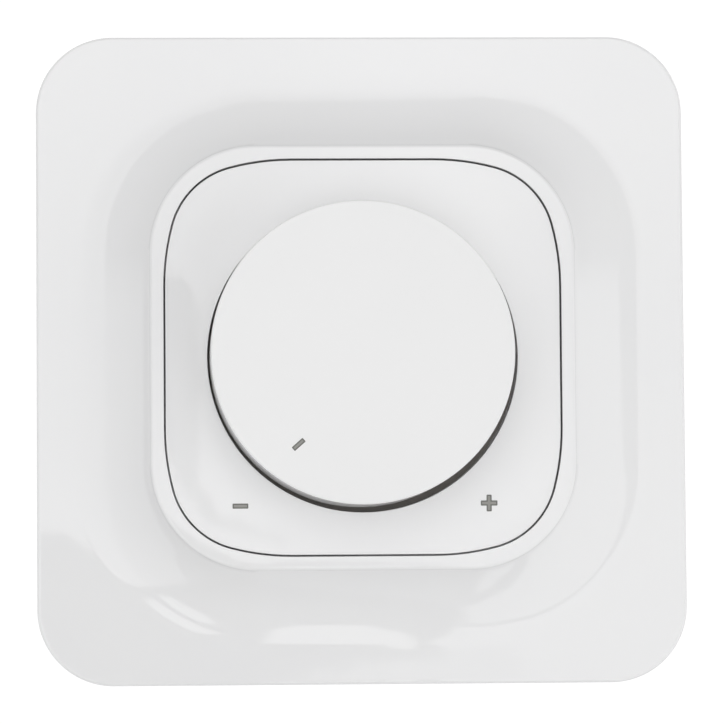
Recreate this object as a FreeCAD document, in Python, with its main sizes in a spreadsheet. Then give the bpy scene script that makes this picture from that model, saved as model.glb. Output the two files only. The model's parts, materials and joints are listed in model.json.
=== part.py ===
import FreeCAD, Part
import math
import os
import re
import Sketcher

# Rotary dimmer switch for a 60 mm wall box, with its cover frame.
# Every piece is drawn face up: x to the right, y up the wall, z is the height above the wall.
# The placement named upright then stands it up, so that in the finished model the wall is the
# plane y = 0, the front faces -Y and Z is up. Depths behind the wall are negative heights.
# The placement on_edge turns a ring's axis sideways, along X.

document = FreeCAD.newDocument("DimmerSwitch")
sheet = document.addObject("Spreadsheet::Sheet", "Sizes")

driving_sizes = [
    # cover frame
    ("frame_width", 85.0, "outer width and height of the cover frame"),
    ("frame_corner", 10.0, "corner radius of the frame's outline"),
    ("frame_land", 4.3, "height of the flat outer land"),
    ("frame_edge_round", 0.9, "rounding of the outer edge"),
    ("frame_wall", 1.8, "wall thickness of the hollow frame"),
    ("crease_half", 34.9, "half width of the crease where the slope starts"),
    ("crease_corner", 21.5, "corner radius of the crease"),
    ("slope_top", 9.0, "height where the slope meets the collar"),
    ("slope_start_angle", 18.0, "steepness of the slope at the crease, degrees"),
    ("collar_half", 27.7, "half width of the collar's outer edge"),
    ("collar_corner", 14.0, "corner radius of the collar's outer edge"),
    ("collar_top", 9.5, "height of the collar"),
    ("collar_wall", 1.6, "wall of the collar's skirt behind the slope"),
    ("seat_width", 1.6, "width of the ledge that carries the centre plate"),
    ("seat_thick", 1.2, "thickness of that ledge"),
    ("seat_height", 4.4, "height of the ledge's front face"),
    ("rib_thick", 1.2, "thickness of the frame's ribs"),
    ("rib_spread", 19.0, "distance of the ribs from the frame's middle"),
    # centre plate
    ("plate_half", 25.65, "half width of the centre plate"),
    ("plate_side_radius", 30.65, "large radius at both ends of each soft corner"),
    ("plate_corner_radius", 10.44, "small radius in the middle of each soft corner"),
    ("plate_ease_angle", 15.0, "angle turned by each large radius, degrees"),
    ("plate_gap", 0.18, "gap between the centre plate and the collar"),
    ("plate_front", 9.2, "height of the centre plate"),
    ("plate_thick", 1.8, "thickness of its face"),
    ("plate_skirt", 1.5, "thickness of its skirt"),
    ("plate_edge_round", 0.3, "rounding of its edges"),
    ("well_radius", 20.25, "radius of the round well for the knob"),
    ("well_wall", 1.5, "wall around the well"),
    ("well_floor", 6.0, "height of the well's floor"),
    ("well_floor_thick", 1.5, "thickness of the well's floor"),
    # knob, shaft and fixing
    ("shaft_x", -0.3, "sideways place of the shaft, which sits a little off the middle"),
    ("shaft_radius", 3.0, "radius of the shaft"),
    ("shaft_top", 17.6, "height of the shaft's end"),
    ("flat_depth", 1.5, "depth of the flat that turns the knob"),
    ("flat_length", 8.0, "length of that flat"),
    ("knob_radius", 19.35, "radius of the knob's face"),
    ("knob_draft", 0.15, "how much the knob widens to its foot"),
    ("knob_top_height", 19.8, "height of the knob's face"),
    ("knob_foot_height", 7.8, "height of the knob's foot"),
    ("knob_wall", 1.5, "wall of the knob"),
    ("knob_face_thick", 1.8, "thickness of the knob's face"),
    ("knob_round", 0.6, "rounding of the knob's front edge"),
    ("hub_radius", 4.75, "radius of the hub inside the knob"),
    ("hub_foot", 10.4, "height of the hub's foot"),
    ("knob_rib_count", 8, "number of ribs inside the knob"),
    ("knob_rib_thick", 1.0, "thickness of those ribs"),
    ("knob_rib_depth", 2.2, "depth of those ribs under the face"),
    ("shaft_end_gap", 0.2, "gap between the shaft's end and the knob's bore"),
    ("push_travel", 1.5, "travel of the knob when it is pushed"),
    ("clip_thick", 0.5, "thickness of the spring clip around the hub"),
    ("clip_length", 4.0, "length of the spring clip"),
    ("clip_inset", 0.6, "distance of the clip from the hub's foot"),
    ("clip_split", 1.6, "width of the split in the clip"),
    ("nut_width", 14.0, "width across the flats of the fixing nut"),
    ("nut_thick", 1.8, "thickness of the fixing nut"),
    ("washer_radius", 9.0, "radius of the washer under the nut"),
    ("washer_thick", 0.5, "thickness of that washer"),
    ("bushing_radius", 4.95, "radius of the threaded bushing"),
    ("bushing_reach", 0.3, "how far the bushing stands out of the nut"),
    ("slide_fit", 0.05, "radial clearance of running fits"),
    ("screw_fit", 0.15, "clearance of screws in the holes that they pass through"),
    ("loose_fit", 0.3, "clearance around parts that are only dropped in"),
    ("weld", 0.3, "how far an added rib or wall reaches into what carries it"),
    ("cut_margin", 1.0, "how far a cut reaches past what it cuts"),
    # support plate
    ("support_width", 71.0, "width and height of the support plate"),
    ("support_corner", 4.0, "corner radius of the support plate"),
    ("support_thick", 1.0, "thickness of the support plate"),
    ("box_spacing", 60.0, "spacing of the wall box screws"),
    ("box_slot_width", 3.6, "width of the slots for the wall box screws"),
    ("box_slot_length", 7.0, "length of those slots, end to end"),
    # housing
    ("housing_width", 41.0, "width of the housing"),
    ("housing_height", 44.0, "height of the housing"),
    ("housing_corner", 6.0, "corner radius of the housing"),
    ("housing_wall", 1.6, "side wall of the housing"),
    ("housing_edge_round", 1.2, "rounding of the housing's back edge"),
    ("housing_depth", 24.0, "depth of the housing behind the wall"),
    ("housing_back", 2.0, "thickness of the housing's back"),
    ("cover_thick", 2.0, "thickness of the cover behind the support plate"),
    ("block_half", 12.0, "half width of the raised block of the cover"),
    ("block_wall", 1.5, "wall of the raised block"),
    ("block_corner", 2.5, "corner radius of the raised block"),
    ("screw_inset", 4.2, "distance of the four housing screws from the housing's sides"),
    ("screw_radius", 1.25, "radius of the housing screws"),
    ("screw_head_radius", 2.4, "head radius of the housing screws"),
    ("screw_head_thick", 1.5, "head thickness of the housing screws"),
    ("screw_length", 12.0, "length of the housing screws under the head"),
    ("screw_tip_room", 2.0, "depth of their holes past the screws' tips"),
    ("boss_wall", 1.15, "wall of the screw bosses"),
    # potentiometer and push switch
    ("pot_half", 8.5, "half width of the potentiometer"),
    ("pot_corner", 1.0, "corner radius of the potentiometer"),
    ("pot_front_thick", 1.2, "thickness of the metal front of the potentiometer"),
    ("pot_wall", 1.2, "wall of the potentiometer's case"),
    ("pot_floor", 1.4, "floor of the potentiometer's case"),
    ("track_thick", 0.8, "thickness of the resistive track disc"),
    ("rotor_radius", 6.6, "radius of the wiper rotor"),
    ("rotor_thick", 2.0, "thickness of the wiper rotor's disc"),
    ("rotor_hub_radius", 4.6, "radius of the wiper rotor's hub"),
    ("brush_thick", 0.3, "thickness of the wiper brush"),
    ("brush_width", 2.4, "width of the wiper brush"),
    ("board_height", -6.0, "height of the circuit board's front face"),
    ("board_thick", 1.6, "thickness of the circuit board"),
    ("board_gap", 0.3, "gap around the circuit board"),
    ("switch_half", 6.5, "half width of the push switch"),
    ("switch_depth", 8.0, "depth of the push switch"),
    ("switch_corner", 0.8, "corner radius of the push switch"),
    ("switch_wall", 0.9, "wall of the push switch"),
    ("switch_plate", 1.4, "front and back of the push switch"),
    ("plunger_radius", 2.9, "radius of the plunger"),
    ("plunger_reach", 0.2, "how far the plunger reaches in front of the circuit board"),
    ("flange_radius", 5.1, "radius of the plunger's flange"),
    ("flange_thick", 1.0, "thickness of the plunger's flange"),
    ("contact_thick", 0.5, "thickness of the moving contact"),
    ("contact_ring_width", 1.5, "width of the moving contact's ring"),
    ("contact_radius", 0.7, "radius of the fixed contacts"),
    ("contact_tail", 1.5, "how far the fixed contacts stand out behind the switch"),
    ("spring_wire", 0.45, "wire of the return spring"),
    ("spring_radius", 2.5, "mean radius of the return spring"),
    ("spring_turns", 4, "turns of the return spring"),
    # claws
    ("claw_pivot_gap", 2.1, "distance of the claws' pivots from the housing's sides"),
    ("claw_pivot_height", -4.0, "height of the claws' pivots"),
    ("claw_screw_offset", 3.8, "distance of the claw screws from the pivots"),
    ("claw_side_gap", 0.3, "gap between a claw and each of its ears"),
    ("claw_width", 8.0, "width of a claw"),
    ("claw_thick", 1.5, "thickness of a claw"),
    ("claw_nose", 6.9, "reach of a claw's nose from its pivot"),
    ("claw_nose_rise", 0.6, "height of the nose in front of the pivot"),
    ("claw_nose_thick", 1.2, "thickness of the nose"),
    ("claw_nose_wall", 0.9, "metal left at the nose's end"),
    ("claw_length", 19.0, "length of a claw behind its pivot"),
    ("claw_foot", 2.5, "reach of a claw's foot"),
    ("claw_tip", 0.5, "height of the bevel that sharpens the foot"),
    ("claw_slot", 4.2, "width of the slot that lets the screw pass"),
    ("claw_slot_length", 12.0, "length of that slot in the claw's tail"),
    ("claw_bridge", 1.2, "solid stretch between the barrel and the slot"),
    ("claw_play", 0.4, "play of the screw in the nose towards the pivot"),
    ("claw_barrel_wall", 0.9, "wall of a claw's barrel"),
    ("claw_pin_radius", 0.8, "radius of a claw's pivot pin"),
    ("claw_pin_overhang", 0.2, "how far a pivot pin stands out of its ears"),
    ("claw_screw_radius", 1.5, "radius of a claw screw"),
    ("claw_screw_length", 14.0, "length of a claw screw behind the wall"),
    ("claw_head_radius", 2.9, "head radius of a claw screw"),
    ("claw_head_thick", 1.8, "head thickness of a claw screw"),
    ("ear_width", 2.8, "width of the ears that carry the claws"),
    ("ear_reach", 5.8, "reach of those ears behind the wall"),
    # terminals
    ("terminal_count", 3, "number of terminals"),
    ("terminal_pitch", 8.6, "spacing of the terminals"),
    ("cage_width", 6.4, "width of a terminal cage"),
    ("cage_length", 7.0, "length of a terminal cage along the wire"),
    ("cage_wall", 1.0, "wall of a terminal cage"),
    ("cage_gap", 0.4, "gap between the circuit board and an open cage"),
    ("cage_end_gap", 0.6, "gap between the cages and the housing's lower wall"),
    ("wire_gap", 4.6, "room for the wire in an open cage"),
    ("wire_mouth", 4.3, "width of a wire entry"),
    ("bar_thick", 1.2, "thickness of a terminal's contact bar"),
    ("bar_width", 3.8, "width of a terminal's contact bar"),
    ("bar_tail", 2.0, "reach of a contact bar past its cage"),
    ("terminal_screw_radius", 1.75, "radius of a terminal screw"),
    ("terminal_head_radius", 2.9, "head radius of a terminal screw"),
    ("terminal_head_thick", 2.0, "head thickness of a terminal screw"),
    ("terminal_head_gap", 0.2, "clearance around a terminal screw's head"),
    ("ledge_thick", 0.8, "thickness of the ledge that holds the terminal screws"),
    ("tip_gap", 0.2, "gap between a terminal screw's tip and the bar"),
    ("tip_reach", 1.2, "reach of a terminal screw into an open cage"),
    ("head_recess", 0.4, "how far the terminal screws' heads lie inside the housing's back"),
    ("divider_thick", 1.2, "thickness of the walls between the terminals"),
    ("divider_reach", 0.3, "how far those walls reach past the cages"),
    ("recess_reach", 0.75, "half length of a cross recess, as a share of the head's radius"),
    ("recess_width", 0.12, "half width of a cross recess, as a share of the head's radius"),
    ("recess_depth", 0.55, "depth of a cross recess, as a share of the head's thickness"),
    ("head_round", 0.3, "rounding of a screw head, as a share of its thickness"),
    # parts on the circuit board
    ("fuse_radius", 2.3, "radius of the fuse's glass"),
    ("fuse_length", 20.0, "length of the fuse"),
    ("fuse_glass_wall", 0.5, "wall of the fuse's glass"),
    ("fuse_cap_wall", 0.3, "end wall of the fuse's caps"),
    ("fuse_cap_length", 4.5, "length of the fuse's caps"),
    ("fuse_clip_wall", 0.4, "thickness of the clips around the fuse's caps"),
    ("fuse_clip_width", 3.2, "width of the clips' feet"),
    ("fuse_gap", 0.9, "gap between the fuse and the circuit board"),
    ("fuse_inset", 3.2, "distance of the fuse's middle from the housing's upper wall"),
    ("choke_radius", 4.6, "outer radius of the choke's core"),
    ("choke_bore", 2.4, "inner radius of the choke's core"),
    ("choke_thick", 5.0, "thickness of the choke's core"),
    ("choke_bevel", 0.5, "bevel of the core's edges"),
    ("choke_inset", 3.8, "distance of the choke's middle from the housing's side wall"),
    ("choke_y", 5.6, "upward place of the choke"),
    ("choke_gap", 0.2, "gap between the choke and the circuit board"),
    ("choke_wire", 0.9, "wire of the choke's winding"),
    ("winding_angle", 310.0, "how much of the choke's core is wound, degrees"),
    ("heat_sink_gap", 0.4, "gap between the heat sink and the housing's side wall"),
    ("heat_sink_thick", 1.5, "thickness of the heat sink"),
    ("heat_sink_depth", 11.5, "depth of the heat sink"),
    ("heat_sink_low", -7.0, "lower end of the heat sink"),
    ("heat_sink_high", 12.0, "upper end of the heat sink"),
    ("transistor_thick", 4.5, "thickness of the transistor"),
    ("transistor_width", 10.0, "width of the transistor"),
    ("transistor_height", 9.0, "height of the transistor's case"),
    ("transistor_stand", 2.0, "length of its legs in front of the case"),
    ("transistor_y", 3.0, "upward place of the transistor"),
    ("leg_pitch", 2.54, "spacing of the transistor's legs"),
    ("capacitor_x", 5.2, "sideways place of the capacitor"),
    ("capacitor_gap", 0.6, "gap between the capacitor and the fuse's clips"),
    ("capacitor_length", 11.5, "length of the capacitor"),
    ("capacitor_thick", 5.0, "thickness of the capacitor"),
    ("capacitor_height", 9.7, "height of the capacitor"),
    ("capacitor_stand", 0.3, "gap between the capacitor and the circuit board"),
    ("capacitor_legs", 7.5, "spacing of the capacitor's legs"),
    ("chip_inset", 7.5, "from the housing's outside to the drive chip's middle"),
    ("chip_width", 4.0, "width of the drive chip"),
    ("chip_length", 6.0, "length of the drive chip"),
    ("chip_thick", 1.6, "thickness of the drive chip"),
    ("part_round", 0.4, "rounding of the moulded parts on the circuit board"),
    ("leg_radius", 0.4, "radius of the legs on the circuit board"),
]

for row, (name, number, note) in enumerate(driving_sizes, start=1):
    sheet.set(f"A{row}", note)
    sheet.set(f"B{row}", str(number))
    sheet.setAlias(f"B{row}", name)
document.recompute()
size_names = {name for name, number, note in driving_sizes}
upright = FreeCAD.Placement(FreeCAD.Vector(), FreeCAD.Rotation(FreeCAD.Vector(1, 0, 0), 90))
on_edge = FreeCAD.Placement(FreeCAD.Vector(), FreeCAD.Rotation(FreeCAD.Vector(0, 1, 0), 90))
nodes = []


def bound(text):
    """The expression with every size name pointing at its cell."""
    return re.sub(r"[a-z][a-z_]+", lambda word: with_sheet(word[0]), str(text))


def with_sheet(word):
    return "Sizes." + word if word in size_names else word


def value(text):
    return float(sheet.evalExpression(bound(text)))


def point(x, y):
    return FreeCAD.Vector(value(x), value(y), 0)


# Sizes that follow from the driving ones, as expressions.
frame_half = "frame_width / 2"
housing_half_x = "(housing_width / 2)"
housing_half_y = "(housing_height / 2)"
inner_x = "(housing_width / 2 - housing_wall)"
inner_y = "(housing_height / 2 - housing_wall)"
screw_x = "(housing_width / 2 - screw_inset)"
screw_y = "(housing_height / 2 - screw_inset)"
pivot_x = "(housing_width / 2 + claw_pivot_gap)"
claw_screw_x = "(housing_width / 2 + claw_pivot_gap + claw_screw_offset)"
terminal_edge = "(housing_height / 2 - housing_wall - cage_end_gap)"
heat_sink_x = "(housing_width / 2 - housing_wall - heat_sink_gap - heat_sink_thick)"
choke_x = "(choke_inset + housing_wall - housing_width / 2)"
chip_x = "(housing_width / 2 - chip_inset)"
fuse_y = "(housing_height / 2 - housing_wall - fuse_inset)"
capacitor_y = f"({fuse_y} - fuse_radius - fuse_clip_wall - capacitor_gap - capacitor_thick / 2)"
floor_bottom = "(well_floor - well_floor_thick)"
nut_top = "(well_floor + washer_thick + nut_thick)"
bushing_top = f"({nut_top} + bushing_reach)"
knob_foot_radius = "(knob_radius + knob_draft)"
pot_front = f"({floor_bottom} - block_wall)"
pot_case_front = f"({pot_front} - pot_front_thick)"
board_back = "(board_height - board_thick)"
rotor_back = "(board_height + pot_floor + track_thick + brush_thick + slide_fit * 2)"
switch_cavity = f"({board_back} - switch_plate)"
switch_back = f"({board_back} - switch_depth)"
plunger_top = "(board_height + plunger_reach)"
flange_front = f"({board_back} - switch_plate - slide_fit * 2)"
flange_back = f"({flange_front} - flange_thick)"
cage_front = f"({board_back} - cage_gap)"
wire_front = f"({cage_front} - cage_wall)"
bar_front = f"({wire_front} - wire_gap)"
bar_back = f"({bar_front} - bar_thick)"
cage_inner_back = f"({bar_back} - tip_gap - tip_reach)"
ledge_front = "(terminal_head_thick - housing_depth + head_recess + ledge_thick)"
head_front = f"({ledge_front} - ledge_thick)"
cage_middle = f"(cage_length / 2 - {terminal_edge})"
screw_hole_radius = "(screw_radius + slide_fit)"
terminal_tip = f"({bar_back} - tip_gap)"
terminal_count = int(value("terminal_count"))
terminal_places = [f"{number - (terminal_count - 1) / 2} * terminal_pitch"
                   for number in range(terminal_count)]
contact_ring_outer = "(flange_radius - slide_fit * 2)"


def new_body(label, at_x="0", at_y="0", height="0", placement=upright):
    """A body that is drawn face up and stood upright, placed at x, y and a height on the wall."""
    body = document.addObject("PartDesign::Body", label)
    body.Label = label
    body.AllowCompound = True
    body.Placement = placement
    body.setExpression("Placement.Base.x", bound(at_x))
    body.setExpression("Placement.Base.y", bound(f"-({height})"))
    body.setExpression("Placement.Base.z", bound(at_y))
    nodes.append(body)
    return body


def new_sketch(body, height="0", plane="XY_Plane"):
    """A sketch on one of the body's own planes, lifted off it by the given height."""
    sketch = body.newObject("Sketcher::SketchObject", body.Name + "_sketch")
    support = [item for item in body.Origin.OriginFeatures if item.Role == plane][0]
    sketch.AttachmentSupport = [(support, "")]
    sketch.MapMode = "FlatFace"
    sketch.setExpression("AttachmentOffset.Base.z", bound(height))
    return sketch


def constrain(sketch, text, kind, *where):
    """A dimension of a sketch, tied to the sheet."""
    number = sketch.addConstraint(Sketcher.Constraint(kind, *where, value(text)))
    sketch.setExpression(f"Constraints[{number}]", bound(text))


def pin(sketch, geometry, vertex, x, y):
    """Fix one point of a sketch by its two distances from the origin."""
    constrain(sketch, x, "DistanceX", -1, 1, geometry, vertex)
    constrain(sketch, y, "DistanceY", -1, 1, geometry, vertex)


def polygon(sketch, corners):
    """A closed outline of straight lines through the given corners."""
    first = sketch.GeometryCount
    places = [point(x, y) for x, y in corners]
    for place, following in zip(places, places[1:] + places[:1]):
        sketch.addGeometry(Part.LineSegment(place, following))
    for number, (x, y) in enumerate(corners):
        following = first + (number + 1) % len(corners)
        sketch.addConstraint(Sketcher.Constraint("Coincident", first + number, 2, following, 1))
        pin(sketch, first + number, 1, x, y)


def rectangle(sketch, left, right, low, high):
    polygon(sketch, [(left, low), (right, low), (right, high), (left, high)])


def circle(sketch, x, y, radius):
    number = sketch.addGeometry(
        Part.Circle(point(x, y), FreeCAD.Vector(0, 0, 1), value(radius))
    )
    pin(sketch, number, 3, x, y)
    constrain(sketch, radius, "Radius", number)


def tangent_loop(sketch, pieces):
    """Join lines and arcs end to end, each tangent to the next."""
    for number, following in zip(pieces, pieces[1:] + pieces[:1]):
        sketch.addConstraint(Sketcher.Constraint("Tangent", number, 2, following, 1))


def add_arc(sketch, centre, radius, start, end):
    whole = Part.Circle(centre, FreeCAD.Vector(0, 0, 1), radius)
    return sketch.addGeometry(Part.ArcOfCircle(whole, math.radians(start), math.radians(end)))


def arc_end(centre, radius, angle):
    turned = math.radians(angle)
    return centre + FreeCAD.Vector(radius * math.cos(turned), radius * math.sin(turned), 0)


def rounded_rectangle(sketch, half_x, half_y, radius, x="0", y="0"):
    """A rectangle with four round corners, about the point x, y."""
    r = value(radius)
    arcs = []
    for turn, (side_x, side_y) in enumerate([(1, 1), (-1, 1), (-1, -1), (1, -1)]):
        centre_x = f"({x}) + {side_x} * (({half_x}) - ({radius}))"
        centre_y = f"({y}) + {side_y} * (({half_y}) - ({radius}))"
        arc = add_arc(sketch, point(centre_x, centre_y), r, 90 * turn, 90 * turn + 90)
        arcs.append((arc, centre_x, centre_y, 90 * turn))
    loop = []
    for (arc, centre_x, centre_y, start), following in zip(arcs, arcs[1:] + arcs[:1]):
        begin = arc_end(point(centre_x, centre_y), r, start + 90)
        end = arc_end(point(following[1], following[2]), r, following[3])
        loop += [arc, sketch.addGeometry(Part.LineSegment(begin, end))]
    tangent_loop(sketch, loop)
    for arc, centre_x, centre_y, start in arcs:
        pin(sketch, arc, 3, centre_x, centre_y)
        constrain(sketch, radius, "Radius", arc)


def soft_square(sketch, grow):
    """The centre plate's outline, moved outwards: each corner is three tangent arcs."""
    large = f"(plate_side_radius + ({grow}))"
    small = f"(plate_corner_radius + ({grow}))"
    difference = "(plate_side_radius - plate_corner_radius)"
    ease = value("plate_ease_angle")
    shape = "(cos(plate_ease_angle * 1 deg) - sin(plate_ease_angle * 1 deg))"
    near = f"(plate_half - plate_side_radius + {difference} * {shape})"
    far = "(plate_half - plate_side_radius)"
    corner = f"(plate_half - plate_side_radius + {difference} * cos(plate_ease_angle * 1 deg))"
    loop = []
    large_arcs = []
    small_arcs = []
    ends = []
    for turn, (side_x, side_y) in enumerate([(1, 1), (-1, 1), (-1, -1), (1, -1)]):
        start = 90 * turn
        first = (far, near) if turn % 2 == 0 else (near, far)
        last = (near, far) if turn % 2 == 0 else (far, near)
        places = [
            (first, large, start, start + ease),
            ((corner, corner), small, start + ease, start + 90 - ease),
            (last, large, start + 90 - ease, start + 90),
        ]
        for (place_x, place_y), radius, begin, end in places:
            centre = (f"{side_x} * {place_x}", f"{side_y} * {place_y}")
            arc = add_arc(sketch, point(*centre), value(radius), begin, end)
            loop.append(arc)
            if radius is large:
                large_arcs.append((arc, centre))
            else:
                small_arcs.append(arc)
            ends.append((arc_end(point(*centre), value(radius), begin),
                         arc_end(point(*centre), value(radius), end)))
    closed = []
    for number, arc in enumerate(loop):
        closed.append(arc)
        if number % 3 == 2:
            following = ends[(number + 1) % len(ends)][0]
            closed.append(sketch.addGeometry(Part.LineSegment(ends[number][1], following)))
    tangent_loop(sketch, closed)
    for arc, centre in large_arcs:
        pin(sketch, arc, 3, *centre)
        constrain(sketch, large, "Radius", arc)
    for arc in small_arcs:
        constrain(sketch, small, "Radius", arc)


def slot(sketch, x, y, half_x, half_y):
    """A slot with round ends, whose longer half size gives its direction."""
    narrow = half_x if value(half_x) < value(half_y) else half_y
    r = value(narrow)
    along_y = narrow is half_x
    reach = f"(({half_y}) - ({narrow}))" if along_y else f"(({half_x}) - ({narrow}))"
    places = []
    for side in (1, -1):
        centre_x = f"({x})" if along_y else f"({x}) + {side} * {reach}"
        centre_y = f"({y}) + {side} * {reach}" if along_y else f"({y})"
        places.append((centre_x, centre_y))
    start = 0 if along_y else -90
    arcs = [
        add_arc(sketch, point(*places[0]), r, start, start + 180),
        add_arc(sketch, point(*places[1]), r, start + 180, start + 360),
    ]
    lines = []
    for first, last, angle in ((0, 1, start + 180), (1, 0, start)):
        begin = arc_end(point(*places[first]), r, angle)
        end = arc_end(point(*places[last]), r, angle)
        lines.append(sketch.addGeometry(Part.LineSegment(begin, end)))
    tangent_loop(sketch, [arcs[0], lines[0], arcs[1], lines[1]])
    for arc, place in zip(arcs, places):
        pin(sketch, arc, 3, *place)
    constrain(sketch, narrow, "Radius", arcs[0])


def feature(body, kind, sketch, length=None, symmetric=False):
    """A pad or pocket of the sketch; pads go forwards and pockets go backwards."""
    made = body.newObject("PartDesign::" + kind, body.Name + "_" + kind.lower())
    made.Profile = sketch
    if length is not None:
        made.setExpression("Length", bound(length))
    if symmetric:
        made.SideType = "Symmetric"
    document.recompute()
    return made


def pad(body, height, length, draw, *arguments, plane="XY_Plane", symmetric=False):
    sketch = new_sketch(body, height, plane)
    draw(sketch, *arguments)
    return feature(body, "Pad", sketch, length, symmetric)


def pocket(body, height, depth, draw, *arguments, plane="XY_Plane", symmetric=False):
    """Cut backwards from the given height, and make sure that something went."""
    before = body.Shape.Volume
    sketch = new_sketch(body, height, plane)
    draw(sketch, *arguments)
    made = feature(body, "Pocket", sketch, depth, symmetric)
    if made.Shape.Volume > before - 1e-4:
        raise RuntimeError(body.Label + ": a pocket cuts nothing")
    return made


def revolve(body, corners):
    """Turn an outline of radius and height about the body's own upright axis."""
    sketch = new_sketch(body, "0", "XZ_Plane")
    polygon(sketch, corners)
    made = body.newObject("PartDesign::Revolution", body.Name + "_turned")
    made.Profile = sketch
    made.ReferenceAxis = (sketch, ["V_Axis"])
    made.Angle = 360
    document.recompute()
    return made


def fillet(body, base, radius, test):
    """Round the edges of the base feature that the test picks."""
    names = [f"Edge{n}" for n, edge in enumerate(base.Shape.Edges, start=1) if test(edge)]
    if not names:
        raise RuntimeError(body.Label + ": no edge to round")
    made = body.newObject("PartDesign::Fillet", body.Name + "_fillet")
    made.Base = (base, names)
    made.setExpression("Radius", bound(radius))
    document.recompute()
    return made


def flat_at(height):
    """A test for edges that lie flat at one height."""
    level = value(height)

    def test(edge):
        box = edge.BoundBox
        return abs(box.ZMin - level) < 1e-4 and abs(box.ZMax - level) < 1e-4

    return test


def loft(body, kind, sections):
    """A ruled loft through rounded squares, each given as half width, radius and height."""
    sketches = []
    for half, radius, height in sections:
        sketch = new_sketch(body, height)
        rounded_rectangle(sketch, half, half, radius)
        sketches.append(sketch)
    made = body.newObject("PartDesign::" + kind, body.Name + "_loft")
    made.Profile = sketches[0]
    made.Sections = sketches[1:]
    made.Ruled = True
    document.recompute()
    return made


slope_steps = 5
hollow_steps = 3


def slope_sections(inset, count):
    """The frame's hollow slope, from the crease up to the collar, as one arc in section."""
    run = value("crease_half - collar_half")
    rise = value("slope_top - frame_land")
    start = math.radians(value("slope_start_angle"))
    chord = math.atan2(rise, run)
    turn = 2 * (chord - start)
    radius = math.hypot(run, rise) / (2 * math.sin(turn / 2))
    sections = []
    for step in range(count + 1):
        angle = start + turn * step / count
        part_run = radius * (math.sin(angle) - math.sin(start)) / run
        part_rise = radius * (math.cos(start) - math.cos(angle)) / rise
        half = f"crease_half - ({inset}) + (collar_half - crease_half) * {part_run:.6f}"
        corner = f"crease_corner - ({inset}) + (collar_corner - crease_corner) * {part_run:.6f}"
        height = f"frame_land - ({inset}) + (slope_top - frame_land) * {part_rise:.6f}"
        sections.append((half, corner, height))
    return sections


def make_frame():
    """The cover frame: flat land, hollow slope and collar around the centre plate."""
    body = new_body("frame")
    base = pad(body, "0", "frame_land", rounded_rectangle,
               frame_half, frame_half, "frame_corner")
    fillet(body, base, "frame_edge_round", flat_at("frame_land"))
    sections = slope_sections("0", slope_steps)
    round_over = "(collar_top - slope_top)"
    for angle in (45, 90):
        inset = f"{round_over} * (1 - cos({angle} deg))"
        sections.append((f"collar_half - {inset}", f"collar_corner - {inset}",
                         f"slope_top + {round_over} * sin({angle} deg)"))
    loft(body, "AdditiveLoft", sections)
    inner_half = f"{frame_half} - frame_wall"
    pocket(body, "frame_land - frame_wall", "frame_land - frame_wall",
           rounded_rectangle, inner_half, inner_half, "frame_corner - frame_wall")
    loft(body, "SubtractiveLoft", slope_sections("frame_wall", hollow_steps))
    pad(body, "seat_height - seat_thick", "slope_top - seat_height + seat_thick",
        soft_square, "plate_gap + collar_wall")
    pocket(body, "collar_top", "collar_top", soft_square, "plate_gap")
    pad(body, "seat_height - seat_thick", "seat_thick", seat_ring)
    for plane in ("XZ_Plane", "YZ_Plane"):
        for shift in (-1, 1):
            for side in (-1, 1):
                pad(body, f"{shift} * rib_spread", "rib_thick", rib_outline, side,
                    plane=plane, symmetric=True)


def seat_ring(sketch):
    soft_square(sketch, "plate_gap + collar_wall / 2")
    soft_square(sketch, "plate_gap - seat_width")


def rib_outline(sketch, side):
    """The profile of a rib, which follows the slope from the outer wall to the collar."""
    under = slope_sections("frame_wall / 2", hollow_steps)
    skirt = "(plate_half + plate_gap + collar_wall / 2)"
    outer = f"({frame_half} - frame_wall / 2)"
    corners = [(outer, "support_thick"), (outer, "frame_land - frame_wall / 2")]
    corners += [(half, height) for half, corner, height in under]
    corners += [(skirt, under[-1][2]), (skirt, "seat_height"), ("crease_half", "support_thick")]
    polygon(sketch, [(f"{side} * ({half})", height) for half, height in corners])


def make_centre_plate():
    """The plate in the frame's opening, with the round well for the knob."""
    body = new_body("centre_plate")
    block = pad(body, "seat_height", "plate_front - seat_height", soft_square, "0")
    fillet(body, block, "plate_edge_round", flat_at("plate_front"))
    pocket(body, "plate_front - plate_thick", "plate_front - plate_thick - seat_height",
           soft_square, "-plate_skirt")
    pad(body, floor_bottom, f"plate_front - plate_thick / 2 - {floor_bottom}",
        circle, "0", "0", "well_radius + well_wall")
    well = pocket(body, "plate_front", "plate_front - well_floor",
                  circle, "0", "0", "well_radius")
    rim = value("well_radius")
    fillet(body, well, "plate_edge_round", lambda edge: flat_at("plate_front")(edge)
           and abs(edge.BoundBox.XLength - 2 * rim) < 0.01)
    pocket(body, "well_floor", "well_floor_thick",
           circle, "shaft_x", "0", "bushing_radius + slide_fit")


def knob_bore(sketch):
    """A round bore with one flat, which the shaft's end turns."""
    flat_outline(sketch, "(shaft_radius + slide_fit)",
                 "(shaft_radius - flat_depth + slide_fit)")


def shaft_flat(sketch):
    rectangle(sketch, "shaft_radius - flat_depth", "shaft_radius + cut_margin",
              "-shaft_radius - cut_margin", "shaft_radius + cut_margin")


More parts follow.
